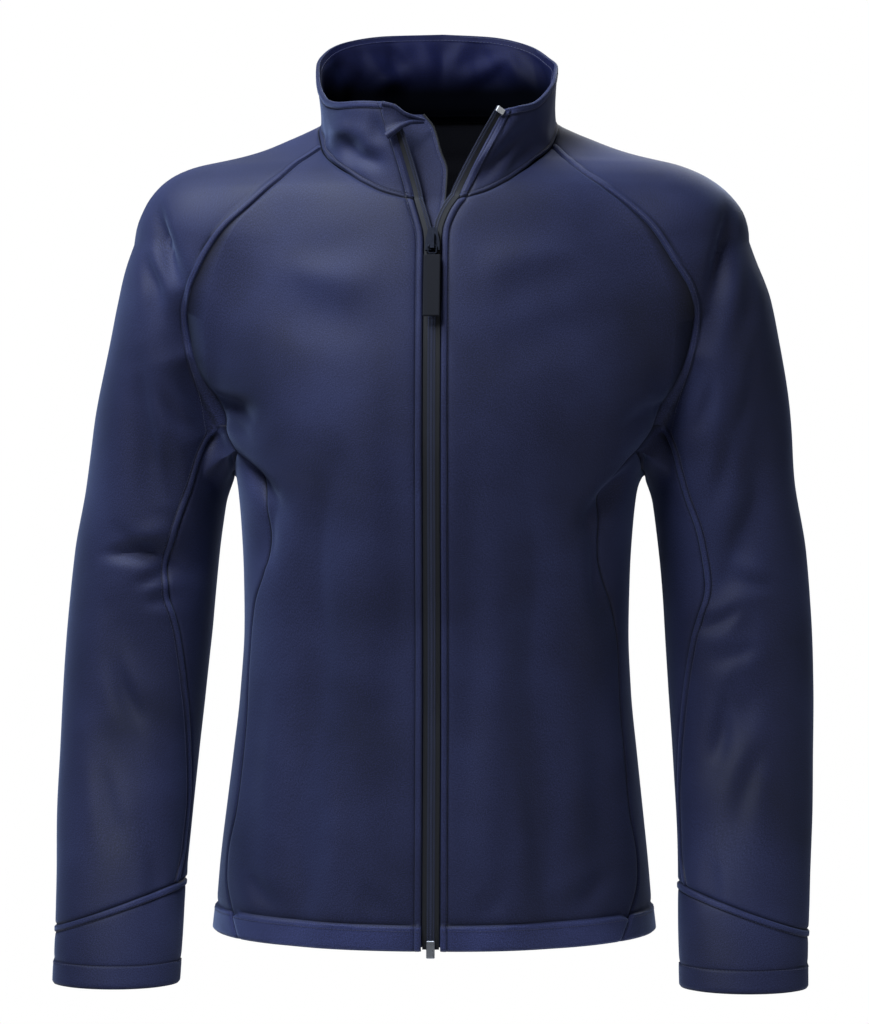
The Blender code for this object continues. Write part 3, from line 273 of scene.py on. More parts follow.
def smooth(xs: Sequence[float], ys: Sequence[float], at: Array) -> Array:
    """Smooth curve through points, which never swings past them.

    Args:
        xs: Where the points lie, rising or falling.
        ys: Their values.
        at: Where the curve is read.

    Returns:
        The curve's value at each place.
    """
    xs, ys = np.asarray(xs, float), np.asarray(ys, float)
    if xs[0] > xs[-1]:
        xs, ys = xs[::-1], ys[::-1]
    step = np.diff(xs)
    rise = np.diff(ys) / step
    slope = np.zeros(len(xs))
    same = rise[:-1] * rise[1:] > 0
    left, right = 2 * step[1:] + step[:-1], step[1:] + 2 * step[:-1]
    safe = np.where(same, rise[:-1] * rise[1:], 1.0)
    mean = (left + right) * safe / (left * rise[1:] + right * rise[:-1] + (~same) * 1e9)
    slope[1:-1] = np.where(same, mean, 0.0)
    slope[0], slope[-1] = rise[0], rise[-1]
    at = np.clip(at, xs[0], xs[-1])
    i = np.clip(np.searchsorted(xs, at, side="right") - 1, 0, len(step) - 1)
    t = (at - xs[i]) / step[i]
    return (ys[i] * (1 + 2 * t) * (1 - t) ** 2 + ys[i + 1] * t * t * (3 - 2 * t)
            + step[i] * (slope[i] * t * (1 - t) ** 2 - slope[i + 1] * t * t * (1 - t)))


def read(source: Columns, column: str, at: Array, key: str = "z") -> Array:
    """Value of a table's column at heights or angles."""
    return smooth(source[key], source[column], at)


def unit(v: Array) -> Array:
    """Vectors brought to length one."""
    return v / np.maximum(np.linalg.norm(v, axis=-1, keepdims=True), 1e-9)


def eased(share: Array) -> Array:
    """Shares from nought to one with a soft start and a soft end."""
    return share * share * (3 - 2 * share)


def lengths(line: Array) -> Array:
    """Distance along a line of points at each of them, from the first."""
    return np.concatenate([[0], np.cumsum(np.linalg.norm(np.diff(line, axis=0), axis=1))])


def between(at: Array, run: Array, rows: Array) -> Array:
    """Rows of three values read at places between those that they are given for."""
    return np.stack([np.interp(at, run, rows[:, i]) for i in range(3)], -1)


def pick(line: Array, index: Array) -> Array:
    """Points between those of a line, by index with a fraction."""
    return between(index, np.arange(len(line)), line)


def through(points: Array, count: int) -> Array:
    """Even points on a smooth curve through given ones.

    Args:
        points: Points of the curve, in order.
        count: How many stretches the curve is cut into.

    Returns:
        One point more than the stretches.
    """
    reach = lengths(points)
    fine = np.linspace(0, reach[-1], max(400, 2 * count))
    line = np.stack([smooth(reach, points[:, i], fine) for i in range(3)], -1)
    run = lengths(line)
    return between(np.linspace(0, run[-1], count + 1), run, line)


def graded(length: float, step: float, start: Sequence[float], end: Sequence[float]) -> Array:
    """Distances along a stretch, even in its middle and as given beside its ends.

    Args:
        length: The stretch's length.
        step: Rough distance from one to the next in the middle.
        start: Distances from the start, the first of them nought.
        end: Distances from the end, the first of them nought.

    Returns:
        Rising distances from nought to the length.
    """
    near, far = np.array(start, float), length - np.array(end, float)[::-1]
    count = max(2, round((far[0] - near[-1]) / step))
    return np.concatenate([near[:-1], np.linspace(near[-1], far[0], count + 1), far[1:]])


def shares(heights: Array, step: float, start: Sequence[float], end: Sequence[float]) -> Array:
    """Shares of each column's height at which its points lie, as given in millimetres beside both ends.

    Args:
        heights: Height of each column.
        step: Rough distance from row to row in the middle.
        start: Distances from the start, the first of them nought.
        end: Distances from the end, the first of them nought.

    Returns:
        One row of shares for each row of points.
    """
    mean = float(heights.mean())
    place = graded(mean, step, start, end)
    first, last = len(start), len(place) - len(end)
    near, far = place[:first, None] / heights, 1 - (mean - place[last:, None]) / heights
    part = (place[first:last] - place[first - 1]) / (place[last] - place[first - 1])
    return np.concatenate([near, near[-1] + (far[0] - near[-1]) * part[:, None], far])


@dataclass(frozen=True)
class WornShape:
    """Body and arms of the filled-out jacket, as two smooth tubes with a soft blend."""

    shoulder_z: float = -85.0  # height of the centre of the round shoulder
    shoulder_cap: float = 69.0  # how far the round shoulder rises above it
    blend_high: float = 46.0  # size of the soft blend on the shoulder
    blend_low: float = 20.0  # the same at the armpit
    blend_heights: tuple[float, float] = (-250.0, -100.0)  # where it is small and where it is large
    inside_y: float = 10.0  # a depth inside the body and the arms
    probe: float = 0.5  # how far to both sides of a point its slope is measured
    longest_move: float = 12.0  # in one step of the search for the cloth
    lean_start: float = 20.0  # distance from the zip where the sideways lean starts
    lean_width: float = 120.0  # width over which it grows

    def body(self, p: Array) -> Array:
        """Rough distance outside the body tube."""
        x, y, z = np.abs(p[..., 0]), p[..., 1], p[..., 2]
        front, back = read(TORSO, "front", z), read(TORSO, "back", z)
        power, half = read(TORSO, "roundness", z), (back - front) / 2
        y = np.abs(y - (front + back) / 2)
        share = ((x / read(TORSO, "half_width", z)) ** power + (y / half) ** power) ** (1 / power)
        return (np.hypot(x, y) + 1e-9) * (1 - 1 / np.maximum(share, 1e-6))

    def arm(self, p: Array) -> Array:
        """Rough distance outside an arm tube with its round shoulder."""
        x, y, z = np.abs(p[..., 0]), p[..., 1], p[..., 2]
        width, depth = read(ARM, "half_width", z), read(ARM, "half_depth", z)
        rise = np.maximum(z - self.shoulder_z, 0) / self.shoulder_cap
        across, deep = (x - read(ARM, "x", z)) / width, (y - read(ARM, "y", z)) / depth
        return (np.sqrt(across ** 2 + deep ** 2 + rise ** 2) - 1) * (width + depth) / 2

    def distance(self, p: Array) -> Array:
        """Rough distance outside body and arms together."""
        body, arm = self.body(p), self.arm(p)
        blend = np.interp(p[..., 2], self.blend_heights, (self.blend_low, self.blend_high))
        near = np.maximum(blend - np.abs(body - arm), 0) / blend
        return np.minimum(body, arm) - near ** 2 * blend / 4

    def slope(self, p: Array, shape: Shape | None = None) -> Array:
        """How the distance to a shape changes along X, Y and Z."""
        shape, steps = shape or self.distance, np.eye(3) * self.probe
        return np.stack([shape(p + step) - shape(p - step) for step in steps], -1) / (2 * self.probe)

    def outward(self, p: Array) -> Array:
        """Unit direction out of the cloth at points on it."""
        return unit(self.slope(p))

    def onto(self, p: Array, shape: Shape | None = None, rounds: int = 8) -> Array:
        """Points moved onto the nearest cloth, or onto one of the two tubes.

        Args:
            p: Points near it.
            shape: The tube's distance, or nothing for the cloth's.
            rounds: How many steps of the search are made.

        Returns:
            The moved points.
        """
        shape, p = shape or self.distance, np.array(p, float)
        for _ in range(rounds):
            g = self.slope(p, shape)
            move = g * (shape(p) / (g ** 2).sum(-1))[..., None]
            length = np.linalg.norm(move, axis=-1, keepdims=True)
            p = p - move * np.minimum(1, self.longest_move / np.maximum(length, 1e-9))
        return p

    def cast(self, start: Array, way: Array, far: float = 230.0, steps: int = 70) -> Array:
        """First point of the cloth along straight ways out of inner points."""
        way = unit(way)
        reach = np.linspace(8, far, steps)
        outside = self.distance(start[..., None, :] + way[..., None, :] * reach[:, None]) > 0
        first = np.argmax(outside, -1)
        low, high = reach[np.maximum(first - 1, 0)], reach[first]
        for _ in range(14):
            mid = (low + high) / 2
            out = self.distance(start + way * mid[..., None]) > 0
            low, high = np.where(out, low, mid), np.where(out, mid, high)
        return start + way * ((low + high) / 2)[..., None]

    def seen(self, x: Array | float, z: Array | float, face: int) -> Array:
        """Points of the cloth as they look from the front (face -1) or the back (face 1)."""
        x, z = np.broadcast_arrays(np.asarray(x, float), np.asarray(z, float))
        start = np.stack([x, np.full(x.shape, self.inside_y), z], -1)
        return self.cast(start, np.broadcast_to([0.0, face, 0.0], start.shape))

    def leaned(self, p: Array) -> Array:
        """Points with the sideways lean of shoulders and arms, which leaves the zip straight."""
        p = p.copy()
        share = np.clip((np.abs(p[..., 0]) - self.lean_start) / self.lean_width, 0, 1)
        p[..., 0] += read(LEAN, "shift", p[..., 2]) * eased(share)
        return p


SHAPE = WornShape()


class EdgeKind(Enum):
    """What the maker does with one edge of a panel."""

    FLAT = "left as it is"
    JOINED = "sewn to a panel that carries the stitches"
    LAPPED = "sewn over its seam allowance and stitched beside the seam"
    ZIPPED = "turned back beside the zip and stitched"
    HEMMED = "turned up and stitched"
    CUFFED = "turned up at the sleeve end and stitched"
    RIM = "turned over the collar's rim and stitched"
    COLLARED = "sewn to the neck and stitched close to the seam"


Sides = dict[str, EdgeKind]
PUCKERS = ((0.5, 3.1, 0.0), (0.3, 5.3, 1.7), (0.4, 8.9, 0.4))  # height, length and start of each wave


@dataclass(frozen=True)
class EdgeFinish:
    """Cross-section of the cloth beside one kind of edge."""

    steps: tuple[float, ...]  # distances of the lattice's lines from the edge
    stitch: float = 0.0  # distance of the stitches from the edge, or nought for none
    roll: float = 1.0  # how deep the cloth rolls in at the edge
    roll_reach: float = 1.2
    swell: float = 0.0  # how far it stands out over the allowance beneath
    swell_rise: float = 1.8  # width beside the edge over which it comes to stand out
    swell_fall: float = 1.4  # the same beside the stitches
    dip: float = 0.0  # how deep the stitches pull it in
    dip_reach: float = 0.8
    hollow: float = 0.0  # softer dip past the stitches
    hollow_reach: tuple[float, float] = (4.0, 0.8)  # past the stitches, and before them
    pucker: float = 0.0  # how uneven the stitches leave the cloth
    pucker_reach: float = 4.5
    flare: float = 0.0  # how far the edge leans out from its stitches
    shine: float = 0.0  # painted highlight: how much paler the doubled cloth beside the stitches is coloured
    shine_fall: float = 1.5
    shade: float = 0.6  # painted shade: how much darker the seam and the line of the stitches are coloured
    shade_reach: float = 0.9

    def height(self, away: Array, along: Array) -> Array:
        """How far the cloth stands out.

        Args:
            away: Distance from the edge.
            along: Distance along it.

        Returns:
            Millimetres outwards.
        """
        out = -self.roll * np.exp(-(away / self.roll_reach) ** 2)
        if not self.stitch:
            return out
        past = away - self.stitch
        rise = np.clip(away / self.swell_rise, 0, 1) * np.clip(0.3 - past / self.swell_fall, 0, 1)
        out = out + self.swell * eased(rise) + self.flare * np.clip(-past / self.stitch, 0, 1)
        out = out - self.dip * np.exp(-(past / self.dip_reach) ** 2)
        out = out - self.hollow * np.exp(-(past / np.where(past > 0, *self.hollow_reach)) ** 2)
        uneven = sum(size * np.sin(along / wave + start) for size, wave, start in PUCKERS)
        return out + self.pucker * uneven * np.exp(-(past / self.pucker_reach) ** 2)

    def tone(self, away: Array) -> Array:
        """Painted highlight above nought and painted shade below nought, at a distance from the edge."""
        tone = -self.shade * np.exp(-(away / self.shade_reach) ** 2)
        if self.stitch:
            past = away - self.stitch
            tone = tone + self.shine * eased(np.clip(-past / self.shine_fall, 0, 1))
            tone = tone - self.shade * np.exp(-(past / self.shade_reach) ** 2)
        return tone


NEAR = (0.0, 0.5, 1.1, 1.9, 3.0, 4.6)  # the lattice's first lines beside most edges
# The paler and darker tones set below are a painted highlight on doubled cloth and painted shade in seams and
# along stitches
EDGES = {
    EdgeKind.FLAT: EdgeFinish(steps=(0.0,), roll=0.0, shade=0.0),
    EdgeKind.JOINED: EdgeFinish(steps=(*NEAR, 7.0, 10.0), roll=1.4, roll_reach=1.8, shade=0.8),
    EdgeKind.LAPPED: EdgeFinish(steps=(*NEAR, 5.5, 6.0, 6.4, 6.8, 7.4, 8.6, 10.5, 13.5), stitch=6.4, roll=1.2,
                                roll_reach=0.9, swell=0.8, dip=0.5, hollow=0.4, pucker=0.1, shine=0.3),
    EdgeKind.ZIPPED: EdgeFinish(steps=(*NEAR, 5.2, 5.7, 6.1, 6.5, 7.1, 8.3, 10.5, 13.5), stitch=6.1, roll=0.6,
                                roll_reach=0.8, swell=0.55, dip=0.75, hollow=0.6, pucker=0.12, shine=0.12),
    EdgeKind.HEMMED: EdgeFinish(steps=(0.0, 0.5, 1.2, 2.4, 5.0, 9.0, 13.0, 17.0, 20.0, 21.4, 22.2, 22.7, 23.1,
                                       23.5, 24.2, 25.4, 27.2, 30.0, 34.0), stitch=23.1, roll=0.9, swell=1.5,
                                dip=0.7, dip_reach=0.9, hollow=1.2, pucker=0.35, flare=1.6,
                                shine=1.1, shade=0.5),
    EdgeKind.CUFFED: EdgeFinish(steps=(0.0, 0.5, 1.2, 2.4, 5.0, 8.5, 12.0, 15.5, 18.0, 19.0, 19.6, 20.1, 20.5,
                                       21.1, 22.2, 24.0, 27.0), stitch=20.1, roll=0.9, swell=0.5, dip=0.45,
                                dip_reach=0.8, hollow=0.4, pucker=0.22),
    EdgeKind.RIM: EdgeFinish(steps=(0.0, 0.6, 1.3, 2.2, 3.4, 4.4, 5.0, 5.4, 5.8, 6.4, 7.6, 9.6), stitch=5.4,
                             roll=0.2, swell=0.5, dip=0.4, hollow=0.25, pucker=0.12, shine=0.25),
    EdgeKind.COLLARED: EdgeFinish(steps=(*NEAR[:4], 2.6, 3.0, 3.4, 4.0, 5.2, 7.2, 10.0), stitch=3.0, roll=1.0,
                                  roll_reach=0.8, swell=0.35, dip=0.35, hollow=0.2, pucker=0.12),
}


@dataclass(frozen=True)
class Course:
    """Where points of the cloth lie beside the line of one fold."""

    length: float
    inner: Array  # share of the line beside which each point lies
    past: Array  # how far it lies past the line's ends
    away: Array  # how far it lies from the line
    sideways: Array  # the same, below nought on the line's right
    facing: Array  # how squarely the cloth faces forward or back, as the fold does

    @classmethod
    def of(cls, fold: dict[str, float], p: Array, out: Array) -> "Course":
        """Measures points against a fold.

        Args:
            fold: Its row of the table.
            p: Points of the cloth.
            out: Unit direction out of the cloth at each.

        Returns:
            Where they lie.
        """
        across = p[..., 0] * fold["side"] if fold["side"] else np.abs(p[..., 0])
        flat = np.stack([across - fold["x0"], p[..., 2] - fold["z0"]], -1)
        run = np.array([fold["x1"] - fold["x0"], fold["z1"] - fold["z0"]])
        length = float(np.hypot(*run))
        along = flat @ run / length ** 2
        inner = np.clip(along, 0, 1)
        gap = flat - inner[..., None] * run
        return cls(length, inner, np.maximum(np.abs(along - 0.5) - 0.5, 0) * length,
                   np.linalg.norm(gap, axis=-1), (gap * [-run[1], run[0]]).sum(-1) / length,
                   np.clip(out[..., 1] * fold["face"] * 2, 0, 1))

    def fade(self, ends: float) -> Array:
        """How deep the fold is along its line, all in the middle and less at its ends."""
        return np.sin(np.pi * (ends + (1 - 2 * ends) * self.inner)) * self.facing


@dataclass(frozen=True)
class Drape:
    """Folds of the cloth, laid on one by one, with a faint unevenness between them."""

    tables: Sequence[Columns]
    deepening: float = 2.2  # how much deeper the cloth folds than its tables of sharper creases say
    steepening: float = 1.6  # the same for its slopes
    lip: float = 0.32  # height of the soft lip on both sides of a crease, for each millimetre of depth
    ripple: float = 0.35  # height of the faint unevenness
    waves: int = 12
    seed: int = 7

    def height(self, p: Array, out: Array) -> Array:
        """How far the folds move points out.

        Args:
            p: Points of the cloth.
            out: Unit direction out of the cloth at each.

        Returns:
            Millimetres outwards, below nought in a trough.
        """
        move = np.zeros(p.shape[:-1])
        for rows in self.tables:
            form = self.slope if rows is SLOPES else self.fold if rows is FOLDS else self.crease
            for values in zip(*rows.values()):
                row = dict(zip(rows, map(float, values)))
                move += form(row, Course.of(row, p, out))
        draw = np.random.default_rng(self.seed)
        for _ in range(self.waves):
            turn, size, phase = draw.uniform(0, math.pi), draw.uniform(11, 26), draw.uniform(0, 6.3)
            way = p[..., 0] * math.cos(turn) + p[..., 2] * math.sin(turn) * 0.7 + p[..., 1] * 0.6
            move += self.ripple / math.sqrt(self.waves) * np.sin(way / size + phase)
        return move

    def fold(self, f: dict[str, float], at: Course) -> Array:
        """Broad and soft fold, as the part's solids have it."""
        return f["depth"] * np.exp(-((at.away / f["reach"]) ** 2)) * at.fade(0.12)

    def crease(self, f: dict[str, float], at: Course) -> Array:
        """Crisp fold, which bends a little on its way and has a soft lip beside it."""
        bow = math.sin(f["x0"] * 1.7 + f["z0"]) * 0.05 * at.length * np.sin(np.pi * at.inner)
        sideways, reach = at.sideways - bow, f["reach"] * (0.75 + 0.6 * at.inner)
        core = np.exp(-((sideways / reach) ** 2))
        lip = np.exp(-(((np.abs(sideways) - 1.9 * reach) / (1.1 * reach)) ** 2))
        end = np.exp(-((at.past / f["reach"]) ** 2))
        return self.deepening * f["depth"] * (core - self.lip * lip) * at.fade(0.06) * end

    def slope(self, f: dict[str, float], at: Course) -> Array:
        """Slope down to a line that winds a little, gentle on its outer side and steep on its inner side."""
        sideways = at.sideways - 0.03 * at.length * np.sin(2 * np.pi * at.inner)
        reach = np.where(sideways > 0, f["outer"], f["inner"]) * (0.8 + 0.4 * at.inner)
        end = np.exp(-((at.past / f["outer"]) ** 2))
        fall = np.exp(-((np.abs(sideways) / reach) ** 1.5))
        return self.steepening * f["depth"] * fall * at.fade(0.1) * end


JACKET_DRAPE = Drape([FOLDS, CREASES, SLOPES])


@dataclass
class Lattice:
    """Grid of points of one panel with where each lies on the flat cloth.

    Rows run down and columns run to the right, so left and right name the columns' two ends.
    """

    points: Array
    column_of_stitch: dict[str, int] = field(default_factory=dict)
    row_of_stitch: dict[str, int] = field(default_factory=dict)

    def flat(self) -> tuple[Array, Array]:
        """Distance across and down the cloth at each point."""
        across = np.linalg.norm(np.diff(self.points, axis=1), axis=-1)
        down = np.linalg.norm(np.diff(self.points, axis=0), axis=-1)
        x = np.concatenate([np.zeros((len(self.points), 1)), np.cumsum(across, 1)], 1)
        y = np.concatenate([np.zeros((1, self.points.shape[1])), np.cumsum(down, 0)], 0)
        return x - x[:, [x.shape[1] // 2]], y

    def stitched(self, kinds: Sides) -> "Lattice":
        """The same lattice, with a note of the lines of points that carry stitches beside its edges."""
        for side, kind in kinds.items():
            finish = EDGES[kind]
            if finish.stitch:
                at = finish.steps.index(finish.stitch)
                noted = self.column_of_stitch if side in ("left", "right") else self.row_of_stitch
                noted[side] = at if side in ("left", "top") else -1 - at
        return self

    def away(self, side: str, window: int = 9) -> tuple[Array, Array]:
        """How far each point lies from one edge.

        Args:
            side: left, right, top or bottom.
            window: How many stretches of the edge each way are looked at.

        Returns:
            The distance from the edge and the distance along it.
        """
        grid = self.points if side in ("left", "right") else self.points.transpose(1, 0, 2)
        edge = grid[:, 0 if side in ("left", "top") else -1]
        run = lengths(edge)
        best, along = np.full(grid.shape[:2], 1e9), np.zeros(grid.shape[:2])
        index = np.arange(len(edge))
        for k in range(-window, window + 1):
            i = np.clip(index + k, 0, len(edge) - 2)
            a, b = edge[i], edge[i + 1]
            way = b - a
            share = ((grid - a[:, None]) * way[:, None]).sum(-1)
            share = np.clip(share / np.maximum((way ** 2).sum(-1), 1e-9)[:, None], 0, 1)
            gap = np.linalg.norm(grid - a[:, None] - share[..., None] * way[:, None], axis=-1)
            closer = gap < best
            best = np.where(closer, gap, best)
            along = np.where(closer, run[i][:, None] + share * np.linalg.norm(way, axis=-1)[:, None], along)
        if side in ("left", "right"):
            return best, along
        return best.T, along.T


def spread(near: Array, far: Array, count: int) -> Array:
    """Shares across each row, as given beside both sides and even between them.

    Args:
        near: Shares beside the left side, for each row.
        far: Shares counted back from the right side, for each row.
        count: How many stretches lie between.

    Returns:
        Rising shares from nought to one, for each row.
    """
    middle = np.linspace(0, 1, count + 1)[1:-1]
    inner = near[:, -1:] + (1 - far[:, -1:] - near[:, -1:]) * middle
    return np.concatenate([near, inner, 1 - far[:, ::-1]], 1)


def patch(left: Array, right: Array, top: Array, bottom: Array,
          kinds: Sides, tube: Shape, step: float = 4.2, most: float = 0.42) -> Lattice:
    """Lattice between four sides, laid on a tube and then on the cloth.

    Args:
        left: Close points down the left side.
        right: As many points down the right side.
        top: Close points across the top.
        bottom: As many points across the bottom.
        kinds: What the maker does with each side, by its name.
        tube: Distance of the tube that the points first lie on.
        step: Rough distance from point to point away from the sides.
        most: Share of a narrow row that the close lines beside each side may take.

    Returns:
        The panel's lattice.
    """
    finish = {side: EDGES[kind] for side, kind in kinds.items()}
    run = lengths(right)
    place = graded(run[-1], step, finish["top"].steps, finish["bottom"].steps)
    index = np.interp(place, run, np.arange(len(right)))
    down = (place / run[-1])[:, None, None]
    left, right = pick(left, index), pick(right, index)
    chord = right - left
    width = np.linalg.norm(chord, axis=-1)
    count = max(4, round(float(width.mean()) / step))

    def offsets(edge: Array, steps: tuple[float, ...]) -> Array:
        """Distances along each row that lie the given steps from a side."""
        skew = np.linalg.norm(np.cross(unit(chord), unit(np.gradient(edge, axis=0))), axis=-1)
        return np.array(steps)[None] / np.clip(skew, 0.5, 1)[:, None] / width[:, None]

    near, far = offsets(left, finish["left"].steps), offsets(right, finish["right"].steps)
    squeeze = np.minimum(1, most / np.maximum(np.maximum(near[:, -1], far[:, -1]), 1e-9))[:, None]
    across = spread(near * squeeze, far * squeeze, count)[..., None]

    def line(points: Array) -> Array:
        """Points of the top or the bottom side at each share across."""
        return pick(points, across[..., 0].ravel() * (len(points) - 1)).reshape(*across.shape[:2], 3)

    over, under = line(top), line(bottom)
    grid = ((1 - across) * left[:, None] + across * right[:, None] + (1 - down) * over + down * under
            - (1 - down) * ((1 - across) * top[0] + across * top[-1])
            - down * ((1 - across) * bottom[0] + across * bottom[-1]))
    grid = SHAPE.onto(SHAPE.onto(grid, tube))
    grid[:, 0], grid[:, -1], grid[0], grid[-1] = left, right, over[0], under[-1]
    return Lattice(grid).stitched(kinds)


def neck(angle: Array | float) -> Array:
    """Points of the collar seam at angles from the front."""
    angle = np.asarray(angle, float)
    return SHAPE.onto(np.stack([read(NECK, c, angle, "angle") for c in "xyz"], -1))


def arm_centre(z: Array | float) -> Array:
    """Point on an arm's own axis."""
    z = np.asarray(z, float)
    return np.stack([read(ARM, "x", z), read(ARM, "y", z), z], -1)


def sleeve_point(turn: Array | float, z: Array | float, rise: float = 0.0) -> Array:
    """Point of the sleeve at a turn from its inner side, in a flat cut that may slope outwards."""
    turn, z = np.broadcast_arrays(np.radians(np.asarray(turn, float)), np.asarray(z, float))
    return SHAPE.cast(arm_centre(z), np.stack([-np.cos(turn), -np.sin(turn), -np.cos(turn) * rise], -1))


def seam(points: Sequence[Array], step: float = 3.0) -> Array:
    """Close points along a seam that lies on the cloth, with its given ends kept."""
    points = np.asarray(points, float)
    line = through(points, max(4, round(float(lengths(points)[-1]) / step)))
    line[1:-1] = SHAPE.onto(line[1:-1])
    return line


@dataclass
class PatternLines:
    """Every seam line of the wearer's left half, on the cloth."""

    raglan_front: float = 82.0  # angle round the neck where the front raglan seam starts
    raglan_back: float = 132.0
    hem_height: float = -714.5
    hem_drop: float = 5.0  # how much lower the hem is at the front and back
    hem_tail: float = 1.5  # how much more the back drops, and less the front
    half_depth: float = 140.0
    hem_seam_x: float = 170.0  # where both side seams meet the hem
    hem_side_x: float = 200.0  # how far out the hem lies between them
    underarm_middle: tuple[float, float, float] = (188.0, 5.0, -292.0)
    cuff_seam_z: float = -684.5  # height of the slanted cuff seam on the sleeve's axis
    cuff_seam_slope: float = -0.345  # its rise for each millimetre outwards
    cuff_end_z: float = -753.5
    cuff_clear: float = 30.0  # the table of sleeve seams is followed down to this far above it
    web: float = 30.0  # how far down the sleeve the cloth hangs free of the arm at the armpit
    web_side: float = 0.3  # part of the width over which it does so less beside the sleeve seams
    sleeve_step: float = 4.2
    across: int = 80  # points across a panel's neck and hem
    line: dict[str, Array] = field(default_factory=dict)

    def __post_init__(self) -> None:
        """Lays every seam."""
        faces = (("front", -1, self.raglan_front, RAGLAN_SEAM, SIDE_SEAM),
                 ("back", 1, self.raglan_back, RAGLAN_SEAM_BACK, SIDE_SEAM_BACK))
        for name, face, start, raglan, side in faces:
            top = seam([neck(start), *SHAPE.seen(raglan["x"], raglan["z"], face)])
            point = SHAPE.seen(GUSSET_POINT["x"], GUSSET_POINT["z"], face)[0]
            down = [point, *SHAPE.seen(side["x"], side["z"], face), self.hem_line(self.hem_seam_x, face)]
            end = sleeve_point(read(SLEEVE_SEAM, name, self.cuff_seam_z) * -face, self.cuff_seam_z,
                               self.cuff_seam_slope)
            rows = SLEEVE_SEAM["z"] > self.cuff_seam_z + self.cuff_clear
            run = sleeve_point(SLEEVE_SEAM[name][rows] * -face, SLEEVE_SEAM["z"][rows])[::-1]
            self.line["raglan_" + name] = top
            self.line["gusset_" + name] = seam([top[-1], point])
            self.line["side_" + name] = seam(down)
            self.line["sleeve_" + name] = seam([top[-1], *run, end])
        ends = [self.line["gusset_front"][-1], self.line["gusset_back"][-1]]
        self.line["underarm"] = seam([ends[0], SHAPE.onto(np.array(self.underarm_middle)), ends[1]])

    def hem_z(self, y: Array | float) -> Array:
        """Height of the hem, lower at the back."""
        share = np.asarray(y) / self.half_depth
        return self.hem_height - self.hem_drop * share ** 2 - self.hem_tail * share

    def hem_line(self, x: Array | float, face: int) -> Array:
        """Points of the hem at distances from the middle, in front or at the back."""
        rough = SHAPE.seen(x, self.hem_height, face)
        return SHAPE.seen(x, self.hem_z(rough[..., 1]), face)

    def half_panel(self, name: str, face: int, left_x: Columns | None, first: float, last: float,
                   kinds: Sides) -> Lattice:
        """Front or back panel of the left half, from its middle edge to its outer seams.

        Args:
            name: front or back.
            face: -1 for the front and 1 for the back.
            left_x: Table of the zip edge, or nothing for the middle of the back.
            first: Angle round the neck where the panel's neck edge starts.
            last: Angle where it ends, at the raglan seam.
            kinds: What the maker does with each side.

        Returns:
            The panel's lattice.
        """
        parts = [self.line["raglan_" + name], self.line["gusset_" + name][1:], self.line["side_" + name][1:]]
        right = np.concatenate(parts)
        top = neck(np.linspace(first, last, self.across))
        fall = (right[:, 2] - right[0, 2]) / (right[-1, 2] - right[0, 2])
        z = top[0, 2] + fall * (self.hem_z(face * self.half_depth) - top[0, 2])
        x = read(left_x, "x", z) if left_x else np.zeros(len(z))
        left = SHAPE.seen(x, z, face)
        left[0] = top[0]
        bottom = self.hem_line(np.linspace(left[-1, 0], right[-1, 0], self.across), face)
        bottom[0], bottom[-1] = left[-1], right[-1]
        return patch(left, right, top, bottom, kinds, SHAPE.body)

    def side_panel(self, kinds: Sides) -> Lattice:
        """Side panel under the arm."""
        ends = self.line["side_front"][-1], self.line["side_back"][-1]
        middle = SHAPE.onto(np.array([self.hem_side_x, 0.0, self.hem_height]))
        bottom = through(np.array([ends[0], middle, ends[1]]), 60)
        bottom[1:-1] = SHAPE.onto(bottom[1:-1])
        bottom[1:-1, 2] = self.hem_z(bottom[1:-1, 1])
        front, back = self.line["side_front"], self.line["side_back"]
        back = pick(back, np.linspace(0, len(back) - 1, len(front)))
        return patch(front, back, self.line["underarm"], bottom, kinds, SHAPE.body)

    def under_sleeve(self, kinds: Sides) -> Lattice:
        """Under-sleeve panel on the inner side of the arm."""
        top = np.concatenate([self.line["gusset_front"], self.line["underarm"][1:],
                              self.line["gusset_back"][-2::-1]])
        turns = np.linspace(read(SLEEVE_SEAM, "front", self.cuff_seam_z),
                            -read(SLEEVE_SEAM, "back", self.cuff_seam_z), len(top))
        bottom = sleeve_point(turns, self.cuff_seam_z, self.cuff_seam_slope)
        front, back = self.line["sleeve_front"], self.line["sleeve_back"]
        back = pick(back, np.linspace(0, len(back) - 1, len(front)))
        made = patch(front, back, top, bottom, kinds, SHAPE.arm)
        grid, run = made.points, lengths(front)[-1]
        place = graded(run, self.sleeve_step, EDGES[kinds["top"]].steps, EDGES[kinds["bottom"]].steps)
        free = int(np.searchsorted(place, self.web))
        columns = np.arange(grid.shape[1])
        inwards = np.clip(np.minimum(columns, columns[::-1]) / (self.web_side * columns[-1]), 0, 1)[:, None]
        for i in range(1, free):
            share = place[i] / place[free]
            straight = grid[0] * (1 - share) + grid[free] * share
            grid[i] += (straight - grid[i]) * (1 - share ** 2) * eased(inwards)
        return made


